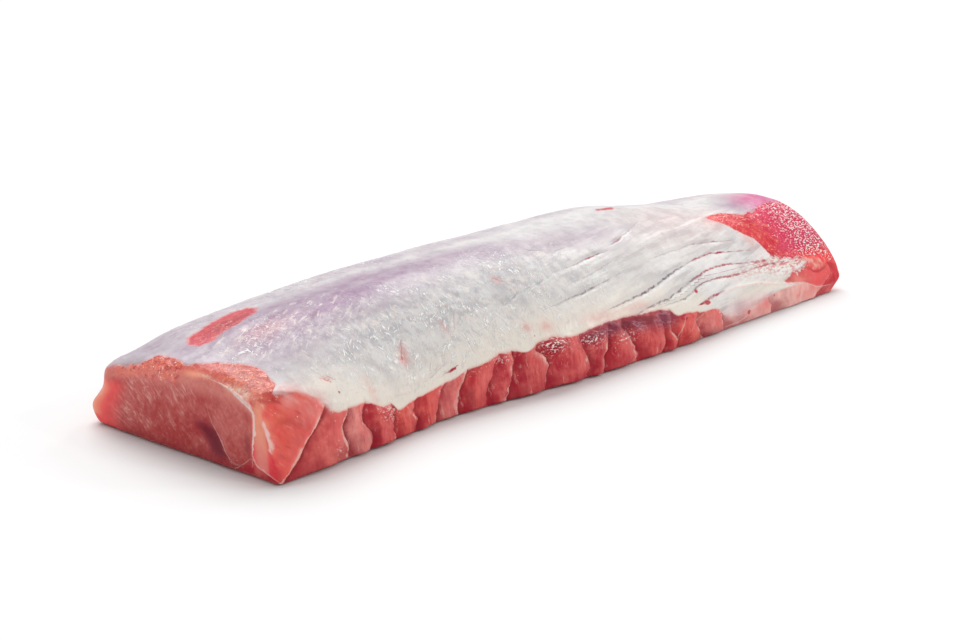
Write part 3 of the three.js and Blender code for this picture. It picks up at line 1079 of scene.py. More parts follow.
class Signal:
    """A shader socket that adds Math nodes when it is used in an expression."""

    def __init__(self, bench: "Bench", socket: bpy.types.NodeSocket) -> None:
        """Wrap one output socket of a bench's node tree."""
        self.bench = bench
        self.socket = socket

    def math(self, operation: str, *others: "Share") -> "Signal":
        """Add a Math node.

        Args:
            operation: The node's operation.
            others: Its second and third values.

        Returns:
            The node's result.
        """
        inputs = dict(enumerate((self, *others)))
        return self.bench.add("ShaderNodeMath", {"operation": operation}, inputs)

    def __add__(self, other: "Share") -> "Signal":
        """Sum."""
        return self.math("ADD", other)

    __radd__ = __add__

    def __mul__(self, other: "Share") -> "Signal":
        """Product."""
        return self.math("MULTIPLY", other)

    __rmul__ = __mul__

    def __sub__(self, other: "Share") -> "Signal":
        """Difference."""
        return self.math("SUBTRACT", other)

    def __rsub__(self, other: Number) -> "Signal":
        """Difference from a number."""
        return (self * -1.0) + other

    def __truediv__(self, other: "Share") -> "Signal":
        """Quotient."""
        return self.math("DIVIDE", other)

    def __abs__(self) -> "Signal":
        """Size without sign."""
        return self.math("ABSOLUTE")

    def most(self, other: "Share") -> "Signal":
        """Larger of two."""
        return self.math("MAXIMUM", other)

    def least(self, other: "Share") -> "Signal":
        """Smaller of two."""
        return self.math("MINIMUM", other)

    def fraction(self) -> "Signal":
        """Part after the whole number."""
        return self.math("FRACT")

    def step(self, low: Number, high: Number) -> "Signal":
        """Eased step.

        Args:
            low: Where it starts.
            high: Where it ends, below low for a falling step.

        Returns:
            0 to 1 between them.
        """
        settings = {"interpolation_type": "SMOOTHSTEP"}
        inputs = {"Value": self, "From Min": low, "From Max": high}
        if low > high:
            inputs = {"Value": self, "From Min": high, "From Max": low, "To Min": 1.0, "To Max": 0.0}
        return self.bench.add("ShaderNodeMapRange", settings, inputs)


Share = Union[Signal, Number]
Value = Union[Signal, Number, tuple]


class Bench:
    """One material's node tree."""

    def __init__(self, name: str) -> None:
        """Make an empty material.

        Args:
            name: The material's name.
        """
        self.material = bpy.data.materials.new(name)
        self.material.use_nodes = True
        self.tree = self.material.node_tree
        self.tree.nodes.clear()

    def add(
        self, kind: str, settings: dict | None = None, inputs: dict | None = None, output: Any = 0
    ) -> Signal:
        """Add any node.

        Args:
            kind: The node's type.
            settings: Its settings, set first.
            inputs: Values or signals for its sockets, by name or index.
            output: Name or index of the output to give back.

        Returns:
            That output.
        """
        node = self.tree.nodes.new(kind)
        for name, value in (settings or {}).items():
            setattr(node, name, value)
        for name, value in (inputs or {}).items():
            if isinstance(value, Signal):
                self.tree.links.new(value.socket, node.inputs[name])
            else:
                node.inputs[name].default_value = value
        return Signal(self, node.outputs[output])

    @cached_property
    def at(self) -> Signal:
        """Object coordinates in millimetres."""
        coords = self.add("ShaderNodeTexCoord", output="Object")
        return self.add("ShaderNodeVectorMath", {"operation": "SCALE"}, {0: coords, "Scale": 1.0 / MM})

    def split(self, vector: Signal) -> tuple[Signal, Signal, Signal]:
        """The three parts of a vector."""
        first = self.add("ShaderNodeSeparateXYZ", inputs={0: vector})
        return tuple(Signal(self, socket) for socket in first.socket.node.outputs)

    def field(self, name: str) -> tuple[Signal, Signal, Signal]:
        """The three parts of one of the piece's own attributes."""
        return self.split(self.add("ShaderNodeAttribute", {"attribute_name": name}, output="Vector"))

    def vector(self, x: Value, y: Value, z: Value) -> Signal:
        """A vector of three values."""
        return self.add("ShaderNodeCombineXYZ", inputs={0: x, 1: y, 2: z})

    def toward(self, way: Place) -> Signal:
        """How far the object's places lie in one direction."""
        return self.add("ShaderNodeVectorMath", {"operation": "DOT_PRODUCT"}, {0: self.at, 1: way}, "Value")

    def noise(self, pitch: float, detail: float, rough: float, at: Signal | None = None) -> Signal:
        """Noise of a given pitch.

        Args:
            pitch: Size of its blobs, in millimetres.
            detail: How many finer layers it has.
            rough: How strong they are.
            at: Where it is read, if not at the object's own places.

        Returns:
            A value about one half.
        """
        inputs = {"Vector": at or self.at, "Scale": 1.0 / pitch, "Detail": detail, "Roughness": rough}
        return self.add("ShaderNodeTexNoise", inputs=inputs)

    def drift(self, x: Value, y: Value, z: Value, detail: float = 2.0, rough: float = 0.5) -> Signal:
        """Noise that is read at three values of its own, such as stretched places."""
        return self.noise(1.0, detail, rough, self.vector(x, y, z))

    def blend(self, share: Value, first: Value, second: Value) -> Signal:
        """Mix two colours.

        Args:
            share: Share of the second.
            first: Colour at 0.
            second: Colour at 1.

        Returns:
            The mixed colour.
        """
        settings = {"data_type": "RGBA", "clamp_factor": True}
        return self.add("ShaderNodeMix", settings, {0: share, 6: first, 7: second}, 2)

    def lay(self, colour: Value, *coats: tuple[Value, Value]) -> Value:
        """Blend coats over a colour in order.

        Args:
            colour: The colour underneath.
            coats: The share and the colour of each coat.

        Returns:
            The colour with all its coats.
        """
        for share, coat in coats:
            colour = self.blend(share, colour, coat)
        return colour

    def finish(self, shader: Signal) -> None:
        """Link a shader to the material's output."""
        node = self.tree.nodes.new("ShaderNodeOutputMaterial")
        self.tree.links.new(shader.socket, node.inputs["Surface"])


def tone(code: str) -> tuple[float, float, float, float]:
    """Linear colour from a screen colour's hex code.

    Args:
        code: Six hex digits.

    Returns:
        Red, green and blue as the shader takes them, and full opacity.
    """
    screen = [int(code[k : k + 2], 16) / 255.0 for k in (0, 2, 4)]
    linear = [v / 12.92 if v <= 0.04045 else ((v + 0.055) / 1.055) ** 2.4 for v in screen]
    return (*linear, 1.0)


@dataclass(frozen=True)
class MeatTones:
    """The colours of bare pork."""

    lean: tuple = tone("C22C3C")
    lean_light: tuple = tone("EA6C69")
    crimson: tuple = tone("A4192E")
    deep: tuple = tone("5E081C")
    maroon: tuple = tone("80102C")
    red: tuple = tone("FF4854")
    orange: tuple = tone("F06C56")
    rose: tuple = tone("E03E68")
    brown: tuple = tone("B4403E")
    brown_light: tuple = tone("CE6A64")
    pale: tuple = tone("F8C8BE")
    peach: tuple = tone("FFAA8C")
    amber: tuple = tone("FA8258")
    tongue: tuple = tone("EC7E6E")
    fat: tuple = tone("FAE2DC")
    seam: tuple = tone("F6C2B4")
    # Painted shade for the walls' creases
    crease_shade: tuple = tone("7C0E1A")
    glint: tuple = tone("FFF6F2")
    umber: tuple = tone("A06050")
    cream: tuple = tone("F8DCC8")


@dataclass(frozen=True)
class MembraneTones:
    """The colours of the membrane."""

    silver: tuple = tone("DAD7D5")
    shade: tuple = tone("B4B0B4")
    white: tuple = tone("F8F7F6")
    lilac: tuple = tone("8E6A8A")
    rosy: tuple = tone("CE6694")
    cream: tuple = tone("F4EADC")
    blush: tuple = tone("E48C84")
    blood: tuple = tone("C02A3C")
    groove: tuple = tone("7E6A76")
    vein: tuple = tone("B03248")
    film: tuple = tone("944A5C")
    veil: tuple = tone("D8A8B4")
    fringe: tuple = tone("E0646E")
    fold: tuple = tone("9A7A82")


@dataclass(frozen=True)
class LoinFinish:
    """Wet raw pork under its membrane."""

    meat: MeatTones = MeatTones()
    membrane: MembraneTones = MembraneTones()
    soft_depth: float = 0.003
    soft_share: float = 0.12
    soft_radius: Place = (1.0, 0.35, 0.25)
    gloss: float = 0.11
    coat: float = 0.06
    coat_roughness: float = 0.12
    bump_depth: float = 0.0012
    bump_share: float = 0.8
    seam_width: float = 1.5
    seam_back: float = 1.4
    seam_wander: float = 2.0
    least_spacing: float = 8.0
    crease_width: float = 3.0
    thread_width: float = 0.9
    groove_width: float = 0.62
    valley_width: float = 2.4
    line_reach: float = 2.2
    face_width: float = 125.0
    face_lean: float = 48.0
    facet_down: Place = (0.54, -0.56, -0.63)
    facet_across: Place = (0.79, 0.08, 0.61)
    sliver_wide: float = 4.4
    sliver_long: float = 13.0
    grain_stretch: Place = (0.7, 1.2, 1.0)

    def drawn(self, bench: Bench, name: str, bend: Signal, width: Share) -> Signal:
        """A line from one of the piece's line attributes.

        Args:
            bench: The material's nodes.
            name: The attribute: side, distance and strength.
            bend: How far the line wanders, in millimetres.
            width: Half width at full strength, in millimetres.

        Returns:
            1 on the line, 0 beside it.
        """
        side, distance, strength = bench.field(name)
        near = distance.step(self.line_reach * 1.4, self.line_reach)
        reach = ((strength * 0.65 + 0.35) * width).most(0.02)
        return (abs(side + bend) / reach).step(1.1, 0.3) * near * strength.least(1.0)

    def seam_colour(self, bench: Bench, colour: Signal) -> Signal:
        """Lay the walls' seams over the meat's colour.

        Args:
            bench: The material's nodes.
            colour: The meat's colour.

        Returns:
            Each bundle in painted shade behind its seam and painted light towards its far edge, the edge's
            pale fat with a painted sheen before it, painted shade in the crease behind it, and painted
            glints high on the walls.
        """
        meat, tones = self.meat, self.membrane
        face_y = bench.field("facing")[1]
        along, _, up = bench.field("place")
        film = bench.field("shows")[2]
        wander = (bench.noise(2.4, 2.0, 0.6) - 0.5) * self.seam_wander
        uneven = bench.noise(4.5, 3.0, 0.6)
        fine = bench.noise(1.3, 2.0, 0.6)
        broad = bench.noise(9.0, 2.0, 0.5)
        strand = bench.drift(along * 0.34 + wander * 0.3, up * 1.3, 0.0, 3.0, 0.6)
        streak = bench.drift(along * 0.5 + wander * 0.8, up * 2.0, 5.0, 3.0, 0.62)
        walls = abs(face_y).step(0.4, 0.7)
        low = up.step(0.45, 0.05)
        colour = bench.blend(face_y.step(0.3, 0.7) * 0.55, colour, meat.brown)
        fields = (bench.field("phases"), bench.field("spacings"), bench.field("shows"))
        for face, phase, spacing, shows in zip((-1.0, 1.0), *fields):
            on_face = (face_y * face).step(0.3, 0.7)
            part = (phase + wander / spacing.most(self.least_spacing)).fraction()
            after, before = part * spacing, (1.0 - part) * spacing
            # Painted shade and light: each bundle darker behind its seam and low on the wall, lighter
            # towards its far edge
            dark = (part + broad * 0.9 - low * 0.25).step(0.95, 0.3) * on_face
            light = (part + strand * 1.2 - 0.6).step(0.3, 0.95) * (1.0 - low * 0.6) * on_face
            threads = strand.step(0.56, 0.66) * part.step(0.2, 0.6) * (1.0 - low) * on_face
            # Painted sheen: a broad pale band before each seam
            sheen = before.step(6.0, 1.0) * shows * broad.step(0.42, 0.62) * on_face
            # Painted shade in the crease just behind each seam
            crease_shade = after.step(self.crease_width, 0.0) * (shows * 0.2 + broad).step(0.44, 0.66) * on_face
            clear = (uneven + (fine - 0.5) * 0.5 + shows * 0.4 - 0.1).step(0.58, 0.76)
            clear = clear * shows.step(0.0, 0.15) * on_face
            width = uneven.step(0.36, 0.66) * self.seam_width + 0.4
            shine = (abs(before - self.seam_back) / width).step(1.0, 0.1) * clear
            colour = bench.lay(
                colour,
                (dark * 0.7, meat.crimson),
                (light * 0.65, meat.lean_light),
                (threads * 0.35, meat.orange),
                (sheen * 0.5, meat.pale),
                (crease_shade * (0.2 + along.step(350.0, 325.0) * 0.55), meat.crease_shade),
                (shine * 0.85, meat.seam),
            )
        streaked = walls * along.step(34.0, 46.0) * along.step(340.0, 310.0)
        # Painted glints: small white specks high on the walls
        painted_wall_glints = fine.step(0.68, 0.74) * broad.step(0.5, 0.62) * up.step(0.25, 0.55) * walls
        sheet = bench.drift(along * 0.05, up * 6.0 + along * 0.05, 0.0, 4.0, 0.6)
        return bench.lay(
            colour,
            (streak.step(0.44, 0.3) * streaked * 0.4, meat.crimson),
            (streak.step(0.57, 0.7) * broad.step(0.4, 0.6) * streaked * 0.36, meat.pale),
            (painted_wall_glints * 0.8, meat.glint),
            (film * (0.5 + sheet.step(0.3, 0.6) * 0.45), tones.film),
            (film * sheet.step(0.5, 0.38) * 0.6, meat.deep),
            (film * abs(sheet - 0.54).step(0.03, 0.0) * 0.45, tones.veil),
        )

    def cut_colour(self, bench: Bench, colour: Signal, share: Signal) -> Signal:
        """Lay the cut end's dull meat and fine marbling over the meat's colour.

        Args:
            bench: The material's nodes.
            colour: The meat's colour.
            share: Share of dull meat.

        Returns:
            Cut fibres as soft feathers, with a few pale hairs of fat, over dull meat lighter towards the top
            in painted light.
        """
        meat = self.meat
        _, across, up = bench.field("place")
        bend = (bench.noise(10.0, 2.0, 0.5) - 0.5) * 5.0
        lean = across * self.face_width - up * self.face_lean + bend
        feather = bench.drift(lean / 2.0, up * 3.2 + across * 4.0, 0.0, 4.0, 0.6)
        vein = bench.drift(lean / 7.0, up * 2.2 + across * 4.0, 3.0, 2.0, 0.5)
        patch = bench.noise(12.0, 3.0, 0.55)
        grit = bench.noise(2.0, 3.0, 0.6)
        # Dull meat mottled, and lighter towards the top in painted light
        dull = bench.blend((patch + up * 0.25).step(0.42, 0.78), meat.brown, meat.brown_light)
        middle = across.step(0.36, 0.55) * across.step(0.95, 0.8) * up.step(0.08, 0.3)
        spread = share * (patch.step(0.36, 0.6) * (0.25 + middle * 0.75))
        hairs = abs(vein - 0.5).step(0.018, 0.002) * spread
        return bench.lay(
            colour,
            (share * 0.94, dull),
            (spread * feather.step(0.5, 0.72) * 0.6, meat.pale),
            (hairs * 0.35, meat.pale),
            (share * grit.step(0.52, 0.72) * 0.12, meat.pale),
            (share * grit.step(0.48, 0.3) * 0.2, meat.crimson),
            (share * feather.step(0.48, 0.25) * 0.3, meat.crimson),
        )

    def lean_colour(self, bench: Bench) -> Signal:
        """Colour of the bare meat.

        Args:
            bench: The material's nodes.

        Returns:
            Lean tones with fibres, marbling, seams and stains, and a painted highlight on the sliced corner.
        """
        meat = self.meat
        along, _, up = bench.field("place")
        red, orange, rose = bench.field("warm_tones")
        deep, brown, pale = bench.field("dull_tones")
        _, maroon, peach = bench.field("edges")
        frayed, mottled, facet = bench.field("trims")
        gleam = bench.field("spacings")[2]
        mottle = bench.noise(8.0, 4.0, 0.6)
        fine = bench.noise(2.2, 2.0, 0.5)
        grit = bench.noise(3.0, 3.0, 0.65)
        fibres = bench.drift(along * 0.45, up * 2.0, 0.0, 3.0, 0.55)
        aside = bench.toward(self.facet_across) / self.sliver_wide
        down = bench.toward(self.facet_down) / self.sliver_long
        sliver = bench.drift(aside, down, 0.0, 4.0, 0.62)

        light = (mottle * 0.85 + fibres * 0.3).step(0.44, 0.74)
        colour = bench.blend(light, meat.lean, meat.lean_light)
        colour = self.cut_colour(bench, colour, brown * (1.0 - deep * 0.8))
        colour = bench.lay(
            colour,
            (rose * (0.6 + fine * 0.5), meat.rose),
            (red * (0.3 + mottle * 0.7 + fine * 0.5), meat.red),
            (orange * (mottle * 1.4 - 0.05), meat.orange),
            (maroon * 0.9, meat.maroon),
            (deep * (0.5 + mottle * 0.8), meat.deep),
            (pale * (0.5 + mottle * 0.75), meat.pale),
            (peach * 0.9, meat.peach),
            (mottled * (0.25 + grit.step(0.42, 0.62) * 0.55), meat.umber),
            (frayed * (grit * 2.4 - 0.5), meat.cream),
            (facet * sliver.step(0.5, 0.7) * 0.4, meat.pale),
            (facet * sliver.step(0.47, 0.3) * 0.5, meat.crimson),
            # Painted highlight on the sliced corner, in the fat's pale colour
            ((gleam + (fine - 0.5) * 1.1).step(0.3, 1.0) * 0.7, meat.fat),
        )
        return self.seam_colour(bench, colour)

    def strokes(self, bench: Bench, turn: float, wide: float, long: float) -> Signal:
        """Short strokes over the top: noise stretched one way.

        Args:
            bench: The material's nodes.
            turn: Angle of the strokes from straight across, in degrees.
            wide: The strokes' pitch across themselves, in millimetres.
            long: Their pitch along themselves.

        Returns:
            A value about one half, high on a stroke.
        """
        along, girth = bench.field("place")[0], bench.field("phases")[2]
        sway = bench.drift(along / 15.0, girth / 16.0, turn, 1.0, 0.5) - 0.5
        along = along + sway * 16.0
        over = girth - sway * 8.0
        sine, cosine = math.sin(math.radians(turn)), math.cos(math.radians(turn))
        ahead = (along * sine + over * cosine) / long
        aside = (along * cosine - over * sine) / wide
        return bench.drift(aside, ahead, turn, 2.0, 0.5)

    def groove_colour(self, bench: Bench, colour: Signal, cloud: Signal, small: Signal) -> Signal:
        """Lay the grooves and the veins over the membrane's colour.

        Args:
            bench: The material's nodes.
            colour: The membrane's colour.
            cloud: Noise that bends the lines.
            small: Finer noise that roughens them.

        Returns:
            Each groove a soft valley of painted shade, a painted highlight on its lip and a broken dark
            line, and the veins over them.
        """
        tones = self.membrane
        along, girth = bench.field("place")[0], bench.field("phases")[2]
        bend = (cloud - 0.5) * 1.8 + (small - 0.5) * 0.4
        dash = bench.drift(along * 0.2, girth * 0.1, 0.0).step(0.34, 0.6)
        # Painted shade in each groove's valley and a painted highlight on its lip
        valley_shade = self.drawn(bench, "grooves", bend - 1.0, self.valley_width)
        lip_highlight = self.drawn(bench, "grooves", bend + 1.3, self.groove_width) * dash
        line = self.drawn(bench, "grooves", bend, self.groove_width)
        vein = self.drawn(bench, "veins", bend, self.groove_width * 1.2)
        return bench.lay(
            colour,
            (valley_shade * 0.26, tones.shade),
            (lip_highlight * 0.8, tones.white),
            (line * (0.2 + dash * 0.75), tones.groove),
            (vein * (0.4 + dash * 0.6), tones.vein),
        )

    def membrane_colour(self, bench: Bench, glints: Signal, shreds: Signal) -> Signal:
        """Colour of the membrane.

        Args:
            bench: The material's nodes.
            glints: Share of painted glints on the crinkles.
            shreds: Noise drawn out along the loin.

        Returns:
            Silvery tones with thin lilac places, creamy edges, stains and grooves, with painted shade and
            highlights on wrinkles, folds and flowing bands, and painted glints.
        """
        tones = self.membrane
        along, across, _ = bench.field("place")
        girth = bench.field("phases")[2]
        lilac, cream, blush = bench.field("tints")
        crinkled, _, fringe = bench.field("flecks")
        extent = bench.field("edges")[0]
        mottle = bench.noise(16.0, 4.0, 0.6)
        small = bench.noise(3.0, 3.0, 0.6)
        cloud = bench.noise(6.0, 3.0, 0.6)
        flow = bench.drift(along * 0.03, girth * 0.208 - along * 0.035, 0.0, 4.0, 0.6)
        flowing = along.step(180.0, 270.0) * across.step(0.5, 0.35)
        streaks = bench.drift(along * 0.035, girth * 0.104 - along * 0.01, 0.0, 4.0, 0.6)
        thin_tone = bench.blend(along.step(404.0, 426.0) * 0.95, tones.lilac, tones.rosy)
        tan = bench.noise(7.0, 4.0, 0.65).step(0.53, 0.66) * crinkled
        folded = along.step(8.0, 24.0) * along.step(120.0, 70.0)
        folded = folded * across.step(0.2, 0.32) * across.step(0.62, 0.5)
        fold = bench.drift((along + girth * 0.5) / 13.0, (girth - along * 0.5) / 3.6, 4.0, 4.0, 0.65)
        shadows = self.strokes(bench, 20.0, 1.1, 4.0).step(0.54, 0.68)
        colour = bench.lay(
            tones.silver,
            (mottle.step(0.38, 0.7) * 0.6, tones.shade),
            # Painted shade of small wrinkles, deeper where crinkled
            (cloud.step(0.46, 0.66) * (0.35 + crinkled * 0.4), tones.shade),
            # Painted light: the front of the top whiter towards the tail
            (along.step(180.0, 360.0) * across.step(0.36, 0.08) * 0.6, tones.white),
            # Painted shade and highlights: grey flowing bands with white crests between them
            (flow.step(0.5, 0.64) * flowing * 0.6, tones.shade),
            (flow.step(0.46, 0.34) * flowing * 0.6, tones.white),
            (lilac * (0.2 + streaks * 0.9 + cloud * 0.7), thin_tone),
            (cream * (0.55 + mottle * 0.7), tones.cream),
            (tan * 0.55, tones.cream),
            # Painted shade and highlights of the rumpled folds
            (folded * fold.step(0.46, 0.34) * 0.5, tones.fold),
            (folded * fold.step(0.54, 0.66) * 0.6, tones.cream),
            (shadows * (0.12 + crinkled * 0.4), tones.shade),
            # Painted glints on the crinkles
            (glints, tones.white),
            (extent.step(1.6, 0.0) * (mottle * 0.8), tones.blush),
            (blush * (small * 1.6 - 0.1), tones.blush),
            (fringe * 0.7, tones.cream),
            (fringe * shreds.step(0.48, 0.58) * 0.8, tones.fringe),
            (fringe * shreds.step(0.46, 0.4) * 0.9, tones.white),
        )
        return self.groove_colour(bench, colour, cloud, small)

    def glints(self, bench: Bench) -> Signal:
        """Share of painted glints on the crinkles: short strokes in two directions, in clusters.

        Args:
            bench: The material's nodes.

        Returns:
            1 where a crinkle has a painted glint.
        """
        crinkled = bench.field("flecks")[0]
        clumps = bench.noise(21.0, 2.0, 0.5).step(0.4, 0.6)
        clusters = bench.noise(8.0, 3.0, 0.6).step(0.42, 0.6) * clumps
        crinkles = self.strokes(bench, 32.0, 1.2, 3.6).most(self.strokes(bench, 4.0, 1.1, 4.2))
        return crinkles.step(0.57, 0.64) * (clusters * crinkled * 1.7 + crinkled * 0.24).least(1.0)

    def cover(self, bench: Bench, medium: Signal, shreds: Signal) -> Signal:
        """Share of membrane: crisp at most edges, soft round the window, over the pale wall and the corner.

        Args:
            bench: The material's nodes.
            medium: Noise that roughens the edges.
            shreds: Noise drawn out along the loin, which tears the fringe.

        Returns:
            1 on membrane, 0 on bare meat.
        """
        along, across, up = bench.field("place")
        extent, lilac, fringe = bench.field("edges")[0], bench.field("tints")[0], bench.field("flecks")[2]
        rough = medium - 0.5
        torn = along.step(398.0, 416.0) * (bench.noise(5.0, 3.0, 0.6) - 0.5) * 9.0
        torn = torn + fringe * (shreds - 0.5) * 16.0
        share = (extent + rough * (1.4 + lilac * 3.0) + torn).step(-0.5, 0.5)
        through = (extent + rough * 5.0).step(-1.8, 1.8)
        near_window = (through - share) * across.step(0.54, 0.56) * along.step(90.0, 75.0)
        share = share + near_window * along.step(8.0, 12.0)
        sheer = along.step(334.0, 346.0) * along.step(398.0, 384.0) * up.step(0.85, 0.6)
        share = share + ((extent + rough * 6.0).step(-5.0, 8.0) * 0.9 - share) * sheer
        fading = (extent + rough * 5.0).step(-3.0, 4.0)
        return share + (fading - share) * along.step(40.0, 28.0) * across.step(0.09, 0.05)

    def make(self) -> bpy.types.Material:
        """Build the material.

        Returns:
            Meat and membrane in one surface, so that the edge between them is crisp.
        """
        meat = self.meat
        bench = Bench("raw_pork")
        along, across, _ = bench.field("place")
        girth = bench.field("phases")[2]
        raw, dense, tongue = bench.field("wetness")
        fine = bench.noise(1.5, 3.0, 0.65)
        medium = bench.noise(3.2, 3.0, 0.55)
        shreds = bench.drift(along * 0.3, girth * 0.8, 0.0, 3.0, 0.6)
        glints = self.glints(bench)
        cover = self.cover(bench, medium, shreds)
        covered = self.membrane_colour(bench, glints, shreds)
        colour = bench.blend(cover, self.lean_colour(bench), covered)

        spots = (bench.field("flecks")[1] + (medium - 0.5) * 0.9).step(0.4, 0.7)
        bend = (medium - 0.5) * 1.2
        width = (medium * 2.6 - 0.4) * self.thread_width
        on_ends = abs(bench.field("facing")[0]).step(0.2, 0.45)
        end_lines = self.drawn(bench, "cut_lines", bend * 1.8, width) * on_ends
        fat = self.drawn(bench, "threads", bend, width).most(end_lines)
        inset = (tongue - 0.5) * 4.0 + (medium - 0.5) * 2.4
        flesh = bench.blend(medium.step(0.4, 0.7), meat.tongue, meat.pale)

        scale = {0: bench.at, 1: self.grain_stretch}
        stretched = bench.add("ShaderNodeVectorMath", {"operation": "MULTIPLY"}, scale)
        fine_grain = bench.noise(1.15, 2.0, 0.6, stretched)
        grain = bench.noise(2.8, 3.0, 0.7)
        grain = grain + (fine_grain - grain) * dense
        bare = raw * (1.0 - cover) * inset.step(0.4, -0.4)
        thick = bench.noise(7.0, 2.0, 0.6).step(0.47, 0.62).most(dense)
        # Painted glints on the wet raw grain
        sparkle = (fine_grain + (grain - 0.5) * 0.6 + dense * 0.05).step(0.6, 0.68) * bare * thick.most(0.25)
        painted_wet_glints = (grain + (fine - 0.5) * 0.3).step(0.62, 0.7) * bare * thick * (1.0 - dense)
        colour = bench.lay(
            colour,
            (spots * 0.9, self.membrane.blood),
            (fat * (0.4 + fine * 0.9), meat.fat),
            # Painted shade round the edge of the tongue
            (abs(inset + 0.4).step(1.2, 0.2) * across.step(0.04, 0.01) * 0.5, meat.crimson),
            (inset.step(0.0, 2.0) * 0.75, flesh),
            (grain.step(0.46, 0.34) * bare * 0.65, meat.crimson),
            (grain.step(0.5, 0.6) * bare * (1.0 - dense) * 0.6, meat.amber),
            (sparkle.most(painted_wet_glints) * 0.9, meat.glint),
        )
        height = glints * 0.35 + (1.0 - cover) * fine * 0.08 + bare * grain * 0.8 + fat * 0.2
        relief = {"Height": height, "Distance": self.bump_depth, "Strength": self.bump_share}
        inputs = {
            "Base Color": colour,
            "Roughness": 0.24 + cover * 0.1 + (fine - 0.5) * 0.16 - bare * 0.06,
            "Normal": bench.add("ShaderNodeBump", inputs=relief),
            "Subsurface Weight": self.soft_share,
            "Subsurface Radius": self.soft_radius,
            "Subsurface Scale": self.soft_depth,
            "Specular IOR Level": self.gloss,
            "Coat Weight": self.coat,
            "Coat Roughness": self.coat_roughness,
        }
        bench.finish(bench.add("ShaderNodeBsdfPrincipled", inputs=inputs))
        return bench.material


# The piece itself


